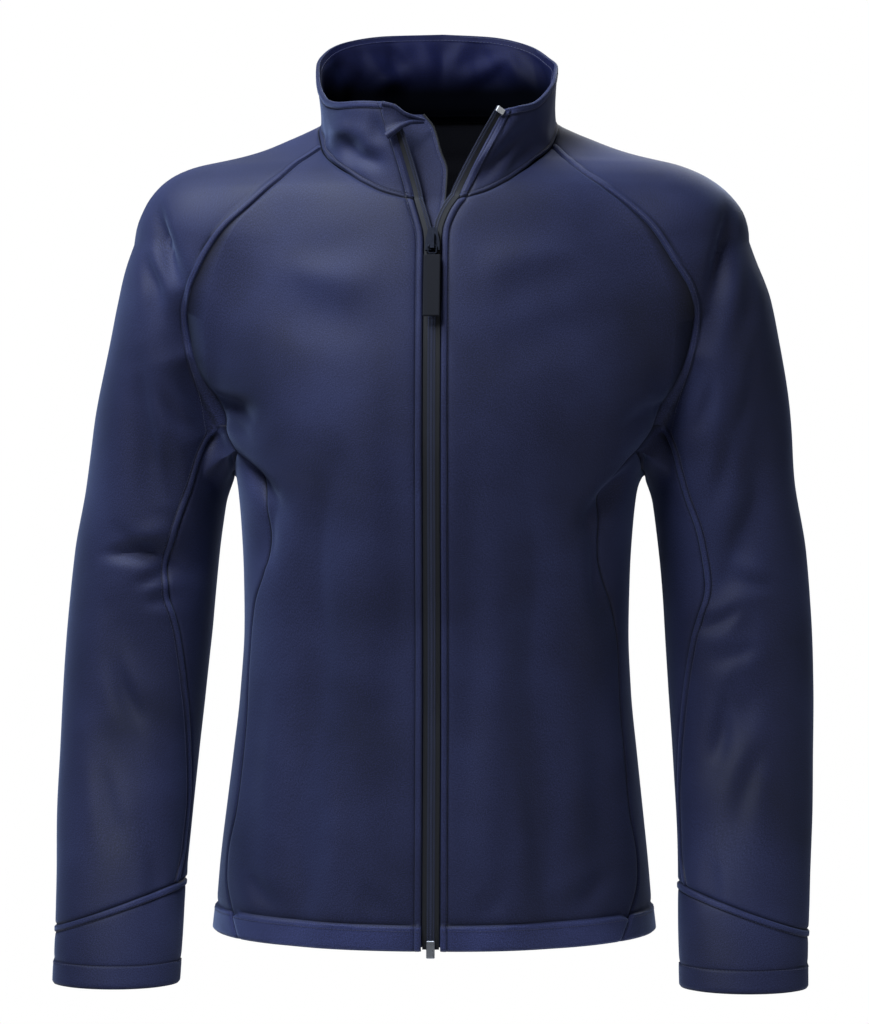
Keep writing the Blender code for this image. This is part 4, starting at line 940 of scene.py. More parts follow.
@dataclass
class SleevePattern:
    """Upper sleeve and cuff of the left half, whose rows fan round the arm."""

    lines: PatternLines
    bend: tuple[tuple[float, float, float], ...] = (  # inner points from the neck to the arm
        (72, 14, -62), (128, 12, -92), (180, 12, -128), (228, 15, -185))
    tilt_start: float = 1.7  # part of the way down at which rows start to tilt to the cuff seam
    settle_start: float = 1.9  # part at which their centres start to settle at its height
    lower_pace: float = 14 / 13  # how much faster the part grows below the raglan seam
    fade: float = 5 / 13  # part over which the sleeve's top settles onto the collar seam
    round_arm: float = 1.25 * math.pi  # rough length round the arm for each millimetre of its reach
    columns: int = 72
    cuff_columns: int = 90
    step: float = 4.2

    def stations(self, top: EdgeFinish, bottom: EdgeFinish) -> tuple[Array, Array, Array]:
        """Where the rows of the upper sleeve start and end.

        Args:
            top: Finish of its edge at the neck.
            bottom: Finish of its edge at the cuff.

        Returns:
            Front points, back points, and each row's part of the way down, which is nought at the neck and
            one at the end of the raglan seam.
        """
        line = self.lines.line
        raglan, below = len(line["raglan_front"]), len(line["sleeve_front"])

        def side(name: str) -> Array:
            """Points of one long side, as many as the other has."""
            over, down = line["raglan_" + name], line["sleeve_" + name]
            return np.concatenate([pick(over, np.linspace(0, len(over) - 1, raglan)),
                                   pick(down, np.linspace(0, len(down) - 1, below))[1:]])

        front, back = side("front"), side("back")
        place = np.concatenate([np.linspace(0, 1, raglan), 1 + np.linspace(0, 1, below)[1:]])
        run = lengths(front)
        stop = graded(run[-1], self.step, top.steps, bottom.steps)
        index = np.interp(stop, run, np.arange(len(front)))
        part = np.interp(index, np.arange(len(place)), place)
        part = np.where(part > 1, 1 + (part - 1) * self.lower_pace, part)
        return pick(front, index), pick(back, index), part

    def centres(self, z: Array, part: Array, count: int = 200) -> Array:
        """Inner points from which the rows of the upper sleeve fan out.

        Args:
            z: Each row's height.
            part: Its part of the way down.
            count: How finely the bend into the arm is followed.

        Returns:
            One point for each row.
        """
        bent = through(np.array([*self.bend, arm_centre(np.interp(1.0, part, z))]), count)
        centre = np.where((part <= 1)[:, None], pick(bent, np.minimum(part, 1) * count), arm_centre(z))
        late = np.clip((part - self.settle_start) / (part[-1] - self.settle_start), 0, 1)
        settled = arm_centre(np.interp(late, [0, 1], [z[-1], self.lines.cuff_seam_z]))
        return centre * (1 - late)[:, None] + settled * late[:, None]

    def upper(self, kinds: Sides) -> Lattice:
        """Upper sleeve, over the shoulder and round the outer side of the arm."""
        finish, lines = {side: EDGES[kind] for side, kind in kinds.items()}, self.lines
        front, back, part = self.stations(finish["top"], finish["bottom"])
        centre = self.centres((front[:, 2] + back[:, 2]) / 2, part)
        slant = math.degrees(math.atan(lines.cuff_seam_slope))
        lean = smooth(SHOULDER_LEAN["part"], SHOULDER_LEAN["degrees"], part)
        angle = np.radians(lean - np.interp(part, [self.tilt_start, part[-1]], [0, slant]))
        over = np.stack([np.sin(angle), np.zeros(len(part)), np.cos(angle)], -1)
        length = np.linalg.norm(SHAPE.cast(centre, over) - centre, axis=-1)[:, None] * self.round_arm
        near, far = (np.array(finish[side].steps) / length for side in ("left", "right"))
        across = spread(near, far, self.columns)
        grid = SHAPE.cast(np.broadcast_to(centre[:, None], (*across.shape, 3)),
                          self.fan(centre, over, front, back, across))
        top = neck(lines.raglan_front + across[0] * (lines.raglan_back - lines.raglan_front))
        fade = np.clip(1 - part / self.fade, 0, 1)[:, None, None] ** 2
        grid = SHAPE.onto(grid + fade * (top - grid[0])[None])
        start, end = (read(SLEEVE_SEAM, face, lines.cuff_seam_z) for face in ("front", "back"))
        turn = start + across[-1] * (360 - end - start)
        grid[:, 0], grid[:, -1], grid[0] = front, back, top
        grid[-1] = sleeve_point(turn, lines.cuff_seam_z, lines.cuff_seam_slope)
        return Lattice(grid).stitched(kinds)

    @staticmethod
    def fan(centre: Array, over: Array, front: Array, back: Array,
            share: Array) -> Array:
        """Ways out of each centre, from a front point over the outer side to a back point.

        Args:
            centre: One inner point for each row.
            over: Way over the outer side for each row.
            front: Where each row starts.
            back: Where each row ends.
            share: How far round each way lies, from nought to one.

        Returns:
            The ways, one for each share.
        """
        ahead = np.array([0.0, -1.0, 0.0])
        along = np.cross(over, ahead)

        def parts(point: Array) -> tuple[Array, Array]:
            """Angle round the row and lean out of it."""
            v = point - centre
            out, forth = (v * over).sum(-1), v @ ahead
            return np.arctan2(forth, -out), (v * along).sum(-1) / np.hypot(out, forth)

        (start, start_lean), (end, end_lean) = parts(front), parts(back)
        angle = start[:, None] * (1 - share) + (end[:, None] + 2 * math.pi) * share
        lean = start_lean[:, None] * (1 - share) + end_lean[:, None] * share
        return (-np.cos(angle)[..., None] * over[:, None] + np.sin(angle)[..., None] * ahead
                + lean[..., None] * along[:, None])

    def cuff(self, upper: Lattice, under: Lattice, kinds: Sides) -> Lattice:
        """Ring of the sleeve end, which shares its top with both sleeve panels."""
        ring = np.vstack([upper.points[-1], under.points[-1, -2:0:-1], upper.points[-1, :1]])
        run = lengths(ring)
        top = between(np.linspace(0, run[-1], self.cuff_columns + 1)[:-1], run, ring)
        ahead = arm_centre(self.lines.cuff_seam_z) - top
        end = sleeve_point(np.degrees(np.arctan2(ahead[:, 1], ahead[:, 0])), self.lines.cuff_end_z)
        height = np.linalg.norm(end - top, axis=-1)
        share = shares(height, self.step, EDGES[kinds["top"]].steps, EDGES[kinds["bottom"]].steps)[..., None]
        grid = SHAPE.onto(top * (1 - share) + end * share)
        grid[0], grid[-1] = top, end
        return Lattice(grid).stitched(kinds)


def lin(code: str) -> tuple[float, float, float, float]:
    """Linear colour of an sRGB hex value such as #2a2d4c."""
    parts = [int(code[i:i + 2], 16) / 255 for i in (1, 3, 5)]
    return (*[c / 12.92 if c <= 0.04045 else ((c + 0.055) / 1.055) ** 2.4 for c in parts], 1.0)


class NodeBoard:
    """A material's nodes, added one after another."""

    def __init__(self, name: str) -> None:
        """Starts a named material with its shader."""
        self.material = bpy.data.materials.new(name)
        self.material.use_nodes = True
        self.tree = self.material.node_tree
        self.shader = self.tree.nodes["Principled BSDF"]

    def add(self, kind: str, links: dict[str | int, object] | None = None,
            **settings: object) -> bpy.types.Node:
        """Adds one node.

        Args:
            kind: The node's type without its ShaderNode prefix.
            links: For each input, an output to join or a value to set.
            settings: The node's own properties.

        Returns:
            The node.
        """
        node = self.tree.nodes.new("ShaderNode" + kind)
        for key, value in settings.items():
            setattr(node, key, value)
        self.join(node, links or {})
        return node

    def join(self, node: bpy.types.Node, links: dict[str | int, object]) -> None:
        """Joins outputs to a node's inputs, or sets their values."""
        for key, value in links.items():
            if isinstance(value, bpy.types.NodeSocket):
                self.tree.links.new(value, node.inputs[key])
            else:
                node.inputs[key].default_value = value


WEAVE_MAP = "weave"  # name of the map that holds each point's place on the flat cloth, in metres
PAINTED_LIGHT = "tone"  # name of the points' value for painted highlight and painted shade: how much paler or darker the cloth is coloured there
PAINTED_LIGHT_RANGE = (-0.8, 1.3)  # least and most of it
WAVE_TURNS = 20.0  # a wave texture turns this many radians for each unit and each step of scale


def wave_scale(spacing_mm: float) -> float:
    """Scale of a wave texture whose bands lie the given distance apart."""
    return 2 * math.pi / (WAVE_TURNS * spacing_mm * MM)


@dataclass(frozen=True)
class WovenFinish:
    """Bonded polyester softshell: a woven stretch face over a membrane and a knit back.

    The face is dull. Its fine fibres catch light at a slant, so it looks paler and bluer where it turns
    away from the eye or faces the key light.
    """

    name: str
    deep: str  # darkest tone of the mottled yarn
    main: str
    lift: str  # palest tone
    sheen_tint: str
    sheen: float = 0.42
    roughness: float = 0.62
    thread_mm: float = 0.85  # real threads lie 0.3 mm apart, drawn coarser so that they show
    cloud_mm: float = 110.0  # size of the faint patches where the cloth was pressed
    fleck_mm: float = 0.95
    bump_mm: float = 0.10
    shade_mm: tuple[float, float] | None = None  # painted shade: distances up the cloth between which it fades from black

    def make(self) -> Material:
        """The material."""
        board = NodeBoard(self.name)
        flat = board.add("UVMap", uv_map=WEAVE_MAP).outputs["UV"]
        solid = board.add("TexCoord").outputs["Object"]
        cloud = board.add("TexNoise", {"Vector": solid, "Scale": 1 / (self.cloud_mm * MM), "Detail": 3.0})
        fleck = board.add("TexNoise", {"Vector": flat, "Scale": 1 / (self.fleck_mm * MM), "Detail": 2.0})
        mixed = board.add("Math", {0: cloud.outputs["Fac"], 1: 0.35, 2: 0.0}, operation="MULTIPLY_ADD")
        mixed = board.add("Math", {0: fleck.outputs["Fac"], 1: 0.65, 2: mixed.outputs[0]},
                          operation="MULTIPLY_ADD")
        ramp = board.add("ValToRGB", {"Fac": mixed.outputs[0]})
        ramp.color_ramp.elements[0].position, ramp.color_ramp.elements[1].position = 0.37, 0.63
        ramp.color_ramp.elements[0].color = lin(self.deep)
        ramp.color_ramp.elements[1].color = lin(self.lift)
        ramp.color_ramp.elements.new(0.5).color = lin(self.main)
        threads = {"Vector": flat, "Scale": wave_scale(self.thread_mm)}
        warp = board.add("TexWave", threads, bands_direction="X")
        weft = board.add("TexWave", threads, bands_direction="Y")
        cross = board.add("Math", {0: warp.outputs["Fac"], 1: weft.outputs["Fac"]}, operation="MULTIPLY")
        cross = board.add("Math", {0: fleck.outputs["Fac"], 1: 0.6, 2: cross.outputs[0]},
                          operation="MULTIPLY_ADD")
        bump = board.add("Bump", {"Height": cross.outputs[0], "Distance": self.bump_mm * MM, "Strength": 0.5})
        rough = board.add("MapRange", {"Value": cloud.outputs["Fac"], "From Min": 0.3, "From Max": 0.7,
                                       "To Min": self.roughness - 0.05, "To Max": self.roughness + 0.06})
        # Painted highlight and painted shade: the points' value scales the colour and the sheen
        tone = board.add("Attribute", attribute_name=PAINTED_LIGHT)
        tone = board.add("Math", {0: tone.outputs["Fac"], 1: 1.0}, operation="ADD")
        colour = board.add("VectorMath", {0: ramp.outputs["Color"], "Scale": tone.outputs[0]},
                           operation="SCALE").outputs[0]
        sheen = board.add("Math", {0: tone.outputs[0], 1: self.sheen}, operation="MULTIPLY",
                          use_clamp=True).outputs[0]
        gloss = 0.35
        # Painted shade inside the collar: black with no sheen or gloss by the seam, fading to the cloth's
        # colour towards the rim
        if self.shade_mm:
            up = board.add("SeparateXYZ", {"Vector": flat}).outputs["Y"]
            low, high = (edge * MM for edge in self.shade_mm)
            shade = board.add("MapRange", {"Value": up, "From Min": low, "From Max": high},
                              interpolation_type="SMOOTHSTEP")
            colour = board.add("MixRGB", {"Fac": shade.outputs[0], "Color1": lin("#040509"),
                                          "Color2": colour}).outputs[0]
            sheen = board.add("Math", {0: shade.outputs[0], 1: self.sheen}, operation="MULTIPLY").outputs[0]
            gloss = board.add("Math", {0: shade.outputs[0], 1: 0.14}, operation="MULTIPLY").outputs[0]
        board.join(board.shader, {"Base Color": colour, "Roughness": rough.outputs[0],
                                  "Normal": bump.outputs[0], "Sheen Weight": sheen,
                                  "Sheen Roughness": 0.45, "Sheen Tint": lin(self.sheen_tint), "IOR": 1.45,
                                  "Specular IOR Level": gloss})
        return board.material


@dataclass(frozen=True)
class TapeFinish:
    """Woven polyester zip tape: close herringbone threads, duller and greyer than the cloth."""

    name: str = "zip_tape_polyester_woven"
    deep: str = "#07080d"
    main: str = "#141822"
    thread_mm: float = 0.8  # real ribs lie 0.4 mm apart, drawn coarser so that they show
    roughness: float = 0.68

    def make(self) -> Material:
        """The material."""
        board = NodeBoard(self.name)
        flat = board.add("UVMap", uv_map=WEAVE_MAP).outputs["UV"]
        ribs = board.add("TexWave", {"Vector": flat, "Scale": wave_scale(self.thread_mm), "Distortion": 0.6,
                                     "Detail": 1.0}, bands_direction="DIAGONAL")
        lines = board.add("TexWave", {"Vector": flat, "Scale": wave_scale(2 * self.thread_mm)},
                          bands_direction="X")
        both = board.add("Math", {0: ribs.outputs["Fac"], 1: lines.outputs["Fac"]}, operation="MULTIPLY")
        tone = board.add("MixRGB", {"Fac": both.outputs[0], "Color1": lin(self.deep),
                                    "Color2": lin(self.main)})
        bump = board.add("Bump", {"Height": both.outputs[0], "Distance": 0.12 * MM, "Strength": 0.6})
        board.join(board.shader, {"Base Color": tone.outputs[0], "Roughness": self.roughness,
                                  "Normal": bump.outputs[0], "Sheen Weight": 0.06, "Sheen Roughness": 0.5})
        return board.material


@dataclass(frozen=True)
class MetalFinish:
    """Cast zinc zip fitting, barrel tumbled and plated, so its shine is soft and a little cloudy."""

    name: str
    colour: str
    roughness: float = 0.34
    cloud_mm: float = 1.5

    def make(self) -> Material:
        """The material."""
        board = NodeBoard(self.name)
        solid = board.add("TexCoord").outputs["Object"]
        cloud = board.add("TexNoise", {"Vector": solid, "Scale": 1 / (self.cloud_mm * MM), "Detail": 3.0})
        rough = board.add("MapRange", {"Value": cloud.outputs["Fac"], "To Min": self.roughness - 0.08,
                                       "To Max": self.roughness + 0.14})
        bump = board.add("Bump", {"Height": cloud.outputs["Fac"], "Distance": 0.03 * MM, "Strength": 0.3})
        board.join(board.shader, {"Base Color": lin(self.colour), "Metallic": 1.0,
                                  "Roughness": rough.outputs[0], "Normal": bump.outputs[0]})
        return board.material


@dataclass(frozen=True)
class MouldedFinish:
    """Moulded rubber or acetal: an even skin with a faint grain from the mould."""

    name: str
    colour: str
    pale: str
    roughness: float = 0.55
    grain_mm: float = 0.5
    ior: float = 1.5

    def make(self) -> Material:
        """The material."""
        board = NodeBoard(self.name)
        solid = board.add("TexCoord").outputs["Object"]
        grain = board.add("TexNoise", {"Vector": solid, "Scale": 1 / (self.grain_mm * MM), "Detail": 2.0})
        tone = board.add("MixRGB", {"Fac": grain.outputs["Fac"], "Color1": lin(self.colour),
                                    "Color2": lin(self.pale)})
        bump = board.add("Bump", {"Height": grain.outputs["Fac"], "Distance": 0.05 * MM, "Strength": 0.35})
        board.join(board.shader, {"Base Color": tone.outputs[0], "Roughness": self.roughness,
                                  "Normal": bump.outputs[0], "IOR": self.ior})
        return board.material


@dataclass(frozen=True)
class ThreadFinish:
    """Spun polyester sewing thread: two twisted plies with a dull shine."""

    name: str = "sewing_thread_polyester_spun"
    colour: str = "#23274a"
    pale: str = "#31365f"
    ply_mm: float = 0.7

    def make(self) -> Material:
        """The material."""
        board = NodeBoard(self.name)
        solid = board.add("TexCoord").outputs["Object"]
        twist = board.add("TexNoise", {"Vector": solid, "Scale": 1 / (self.ply_mm * MM)})
        tone = board.add("MixRGB", {"Fac": twist.outputs["Fac"], "Color1": lin(self.colour),
                                    "Color2": lin(self.pale)})
        board.join(board.shader, {"Base Color": tone.outputs[0], "Roughness": 0.55, "Sheen Weight": 0.3})
        return board.material


@dataclass
class Wardrobe:
    """Every finish of the jacket, made once."""

    softshell: Material = field(init=False)
    collar_inside: Material = field(init=False)
    fleece: Material = field(init=False)
    tape: Material = field(init=False)
    tape_rib: Material = field(init=False)
    thread: Material = field(init=False)
    gunmetal: Material = field(init=False)
    nickel: Material = field(init=False)
    rubber: Material = field(init=False)
    acetal: Material = field(init=False)

    def __post_init__(self) -> None:
        """Makes the materials."""
        self.softshell = WovenFinish("softshell_polyester_woven", deep="#161a30", main="#24284a",
                                     lift="#343b62", sheen_tint="#93a5cc").make()
        # Inside of the collar: a darker, duller copy of the softshell for painted shade, with painted black
        # shade by the seam
        self.collar_inside = WovenFinish("softshell_polyester_inside_collar_painted_shade", deep="#0b0e26", main="#101438",
                                         lift="#171c48", sheen_tint="#6f82c4", sheen=0.12,
                                         shade_mm=(22, 62)).make()
        self.fleece = WovenFinish("fleece_polyester_brushed_inside", deep="#06070d", main="#0a0b14",
                                  lift="#10121e", sheen_tint="#3a4262", sheen=0.15, roughness=0.85,
                                  thread_mm=1.6, bump_mm=0.3).make()
        self.tape = TapeFinish().make()
        self.tape_rib = TapeFinish("zip_coil_rib_polyester", deep="#353c58", main="#555e7e").make()
        self.thread = ThreadFinish().make()
        self.gunmetal = MetalFinish("zinc_gunmetal_plated", "#383c48", roughness=0.3).make()
        self.nickel = MetalFinish("zinc_nickel_plated", "#c6c8cc", roughness=0.28).make()
        self.rubber = MouldedFinish("rubber_black_moulded", "#0a0c14", "#12151f", roughness=0.8,
                                    ior=1.38).make()
        self.acetal = MouldedFinish("acetal_white_moulded", "#e4e4e2", "#f2f2f0", roughness=0.4,
                                    ior=1.48).make()


def mesh_piece(name: str, points: Array, quads: Array, material: Material,
               flat: Array | None = None, sharp: float = 50.0) -> Piece:
    """Object from points in millimetres and quads.

    Args:
        name: The piece's name.
        points: One row for each point.
        quads: Four point numbers for each face.
        material: Its finish.
        flat: Each point's place on the flat cloth in metres, or nothing.
        sharp: Angle between faces, in degrees, above which an edge is sharp.

    Returns:
        The object.
    """
    mesh = bpy.data.meshes.new(name)
    mesh.vertices.add(len(points))
    mesh.vertices.foreach_set("co", (np.asarray(points, float) * MM).astype(np.float32).ravel())
    quads = np.asarray(quads, np.int32)
    mesh.loops.add(quads.size)
    mesh.loops.foreach_set("vertex_index", quads.ravel())
    mesh.polygons.add(len(quads))
    mesh.polygons.foreach_set("loop_start", np.arange(len(quads), dtype=np.int32) * quads.shape[1])
    mesh.update(calc_edges=True)
    if flat is not None:
        layer = mesh.uv_layers.new(name=WEAVE_MAP)
        layer.data.foreach_set("uv", flat[quads.ravel()].astype(np.float32).ravel())
    mesh.validate()
    mesh.shade_smooth()
    mesh.set_sharp_from_angle(angle=math.radians(sharp))
    mesh.materials.append(material)
    made = bpy.data.objects.new(name, mesh)
    bpy.context.scene.collection.objects.link(made)
    return made


def shell(name: str, outer: Array, inner: Array, material: Material,
          flat: tuple[Array, Array], ring: bool = False,
          backing: Material | None = None, tone: Array | None = None) -> Piece:
    """Closed wall between an outer and an inner lattice.

    Args:
        name: The piece's name.
        outer: Points of the face that shows.
        inner: Points of the face behind it.
        material: Its finish.
        flat: Distance across and down the flat cloth at each point, in millimetres.
        ring: Whether the last column joins the first.
        backing: Finish of the inner face, or nothing for the same.
        tone: Painted highlight and painted shade at each point, or nothing.

    Returns:
        The object.
    """
    rows, columns = outer.shape[:2]
    number = np.arange(rows * columns).reshape(rows, columns)
    if ring:
        number = np.concatenate([number, number[:, :1]], 1)

    def skin(n: Array) -> Array:
        """Quads between neighbouring rows and columns."""
        return np.stack([n[:-1, :-1], n[:-1, 1:], n[1:, 1:], n[1:, :-1]], -1).reshape(-1, 4)

    def rim(line: Array) -> Array:
        """Quads from an edge of the outer face to the inner face."""
        back = line + rows * columns
        return np.stack([line[:-1], back[:-1], back[1:], line[1:]], -1)

    faces = [skin(number), skin(number)[:, ::-1] + rows * columns, rim(number[0]), rim(number[-1][::-1])]
    if not ring:
        faces += [rim(number[::-1, 0]), rim(number[:, -1])]
    quads = np.concatenate(faces)
    a, b, c = (outer[rows // 2 + i, columns // 2 + j] for i, j in ((0, 0), (0, 1), (1, 0)))
    way = (outer - inner)[rows // 2, columns // 2]
    if np.dot(np.cross(b - a, c - a), way) > 0:
        quads = quads[:, ::-1]
    place = np.stack([flat[0].ravel(), flat[1].ravel()], -1) * MM
    made = mesh_piece(name, np.concatenate([outer.reshape(-1, 3), inner.reshape(-1, 3)]), quads, material,
                      np.concatenate([place, place]))
    if tone is not None:
        layer = made.data.attributes.new(PAINTED_LIGHT, "FLOAT", "POINT")
        layer.data.foreach_set("value", np.tile(tone.ravel(), 2).astype(np.float32))
    if backing:
        made.data.materials.append(backing)
        index = np.zeros(len(quads), np.int32)
        index[len(faces[0]):2 * len(faces[0])] = 1
        made.data.polygons.foreach_set("material_index", index)
    return made


@dataclass(frozen=True)
class Stitching:
    """Lock stitches that lie along a line on the cloth."""

    long: float = 2.9
    pitch: float = 3.4
    thick: float = 0.5
    sides: int = 5
    slant: float = 0.0  # degrees between a stitch and its line
    stand: float = 0.16  # part of its thickness by which its middle lies above the cloth

    def template(self) -> tuple[Array, Array]:
        """Points of one stitch along X, and its quads."""
        rings = ((-0.5, 0.3), (-0.34, 1.0), (0.34, 1.0), (0.5, 0.3))
        turn = np.arange(self.sides) * 2 * math.pi / self.sides
        points = [(x * self.long, math.cos(a) * r * self.thick / 2, math.sin(a) * r * self.thick / 2)
                  for x, r in rings for a in turn]
        quads = [(k * self.sides + i, k * self.sides + (i + 1) % self.sides,
                  (k + 1) * self.sides + (i + 1) % self.sides, (k + 1) * self.sides + i)
                 for k in range(len(rings) - 1) for i in range(self.sides)]
        for k in (0, len(rings) - 1):
            ends = [k * self.sides + i for i in range(self.sides)]
            for i in range(1, self.sides - 2, 2):
                quads.append((ends[0], ends[i], ends[i + 1], ends[i + 2]) if k else
                             (ends[i + 2], ends[i + 1], ends[i], ends[0]))
        return np.array(points), np.array(quads)

    def sew(self, name: str, lines: Sequence[tuple[Array, Array]],
            thread: Material, slot: str = "navy_softshell") -> Piece:
        """Stitches along several lines, as one piece.

        Args:
            name: The piece's name.
            lines: Points of each line with the way out of the cloth at each.
            thread: The thread's finish.
            slot: Name of the finish's slot; not used.

        Returns:
            The piece.
        """
        template, quads = self.template()
        points, faces, count = [], [], 0
        for line, out in lines:
            run = lengths(line)
            middles = np.arange(self.pitch, run[-1] - self.pitch / 2, self.pitch)
            half = self.long / 2
            way = unit(between(middles + half, run, line) - between(middles - half, run, line))
            up = between(middles, run, out)
            up = unit(up - (up * way).sum(-1, keepdims=True) * way)
            centre = between(middles, run, line) + up * self.thick * self.stand
            beside = np.cross(up, way)
            turn = math.radians(self.slant)
            way, beside = (way * math.cos(turn) + beside * math.sin(turn),
                           beside * math.cos(turn) - way * math.sin(turn))
            put = (centre[:, None] + template[None, :, :1] * way[:, None]
                   + template[None, :, 1:2] * beside[:, None] + template[None, :, 2:] * up[:, None])
            points.append(put.reshape(-1, 3))
            start = count + np.arange(len(middles)) * len(template)
            faces.append((quads[None] + start[:, None, None]).reshape(-1, 4))
            count += len(middles) * len(template)
        made = mesh_piece(name, np.concatenate(points), np.concatenate(faces), thread, sharp=180)
        return dressed(made)


STITCHING = Stitching()


def tube(path: Array, up: Array, radius: float | Array, sides: int = 10) -> tuple[Array, Array]:
    """Points and quads of a round tube along a path.

    Args:
        path: Points of its middle line.
        up: A way across it at each point.
        radius: Its radius, or one for each point.
        sides: How many sides it has.

    Returns:
        Points, and quads with closed ends.
    """
    way = unit(np.gradient(path, axis=0))
    up = unit(up - (up * way).sum(-1, keepdims=True) * way)
    beside = np.cross(way, up)
    turn = (np.arange(sides) * 2 * math.pi / sides)[None, :, None]
    radius = np.broadcast_to(radius, len(path))[:, None, None]
    ring = (np.cos(turn) * up[:, None] + np.sin(turn) * beside[:, None]) * radius
    number = np.arange(len(path) * sides).reshape(len(path), sides)
    after = np.roll(number, -1, 1)
    quads = [np.stack([number[:-1], number[1:], after[1:], after[:-1]], -1).reshape(-1, 4)]
    for ends, turned in ((number[0], 1), (number[-1], -1)):
        quads += [np.array([[ends[0], *ends[i:i + 3]]])[:, ::turned] for i in range(1, sides - 2, 2)]
    return (path[:, None] + ring).reshape(-1, 3), np.concatenate(quads)[:, ::-1]


def along_tube(run: Array, sides: int) -> Array:
    """Each point of a tube's place on the flat cloth, in metres, by its distance along the tube."""
    return np.repeat(np.stack([run, 0 * run], -1) * MM, sides, 0)


def around(left: EdgeKind, right: EdgeKind, top: EdgeKind, bottom: EdgeKind) -> Sides:
    """What the maker does with each side of a panel, by the side's name."""
    return {"left": left, "right": right, "top": top, "bottom": bottom}


def relief(lattice: Lattice, edges: Sides) -> Array:
    """How far the finish of its edges makes each point of a panel stand out."""
    total = sum(EDGES[kind].height(*lattice.away(side)) for side, kind in edges.items()
                if kind is not EdgeKind.FLAT)
    return np.maximum(total, DEEPEST)


def painted_light_and_shade(lattice: Lattice, edges: Sides) -> Array:
    """Painted highlight and painted shade at each point of a panel, beside the finish of its edges."""
    total = sum(EDGES[kind].tone(lattice.away(side)[0]) for side, kind in edges.items()
                if kind is not EdgeKind.FLAT)
    return np.clip(total, *PAINTED_LIGHT_RANGE)


def tucked(grid: Array, ring: bool, amount: float = 0.1) -> Array:
    """Grid with its sides a hair inwards, so that two pieces never share a point."""
    grid = grid.copy()
    views = [grid, grid[::-1]] + ([] if ring else [grid.transpose(1, 0, 2), grid[:, ::-1].transpose(1, 0, 2)])
    for view in views:
        view[0] += unit(view[1] - view[0]) * amount
    return grid


def dressed(piece: Piece, nodes: Sequence[str] = (), body: str = JACKET) -> Piece:
    """Piece that rides on a body and the CAD nodes it stands for."""
    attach(piece, body)
    if nodes:
        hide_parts(*nodes)
    return piece


def lay(piece: Piece, lattice: Lattice) -> None:
    """Logs a panel's flat size, measured along the cloth.

    Args:
        piece: The panel.
        lattice: Its points.
    """
    grid = lattice.points * MM
    across, down = np.diff(grid, axis=1), np.diff(grid, axis=0)
    width = max(float(np.linalg.norm(across, axis=-1).sum(1).max()), 0.01)
    length = float(np.linalg.norm(down, axis=-1).sum(0).max())
    area = float(np.linalg.norm(np.cross(across[:-1], down[:, :-1]), axis=-1).sum())
    area = min(max(area, 0.31 * width * length), width * length)
    log.info("%s is cut %.0f by %.0f mm, %.4f square metres", piece.name, width / MM, length / MM, area)


@dataclass
class ClothPanel:
    """One panel of the jacket with its turned and stitched edges and its folds."""

    name: str
    lattice: Lattice
    rise: Array  # how far its edges stand out
    tone: Array  # painted highlight and painted shade beside its edges
    sewn_to: tuple[str, ...]
    side: int = 1
    ring: bool = False
    wall: float = WALL

    @staticmethod
    def outward(base: Array) -> Array:
        """Unit direction out of the cloth, read from the panel itself where it hangs free of the shape."""
        out = SHAPE.outward(base)
        own = unit(np.cross(np.gradient(base, axis=0), np.gradient(base, axis=1)))
        own *= np.sign(np.median((own * out).sum(-1)))
        free = np.clip(np.abs(SHAPE.distance(base)) / 1.5, 0, 1)[..., None]
        return unit(out * (1 - free) + own * free)

    def build(self, finishes: "Wardrobe") -> list[Piece]:
        """Makes the panel and its stitches.

        Args:
            finishes: The jacket's materials.

        Returns:
            The panel, then its stitches if it has any.
        """
        base = self.lattice.points * [self.side, 1, 1]
        out = self.outward(base)
        outer = base + out * (self.rise + JACKET_DRAPE.height(base, out))[..., None]
        inner = outer - out * self.wall
        outer, inner = (SHAPE.leaned(tucked(layer, self.ring)) for layer in (outer, inner))
        piece = shell(self.name + "_cloth", outer, inner, finishes.softshell, self.lattice.flat(),
                      self.ring, finishes.fleece, self.tone)
        dressed(piece, [self.name])
        lines = [(outer[:, c], out[:, c]) for c in self.lattice.column_of_stitch.values()]
        for r in self.lattice.row_of_stitch.values():
            end = np.append(np.arange(outer.shape[1]), 0) if self.ring else np.arange(outer.shape[1])
            lines.append((outer[r, end], out[r, end]))
        made = [piece]
        if lines:
            made.append(STITCHING.sew(self.name + "_stitches", lines, finishes.thread))
        lay(piece, self.lattice)
        return made


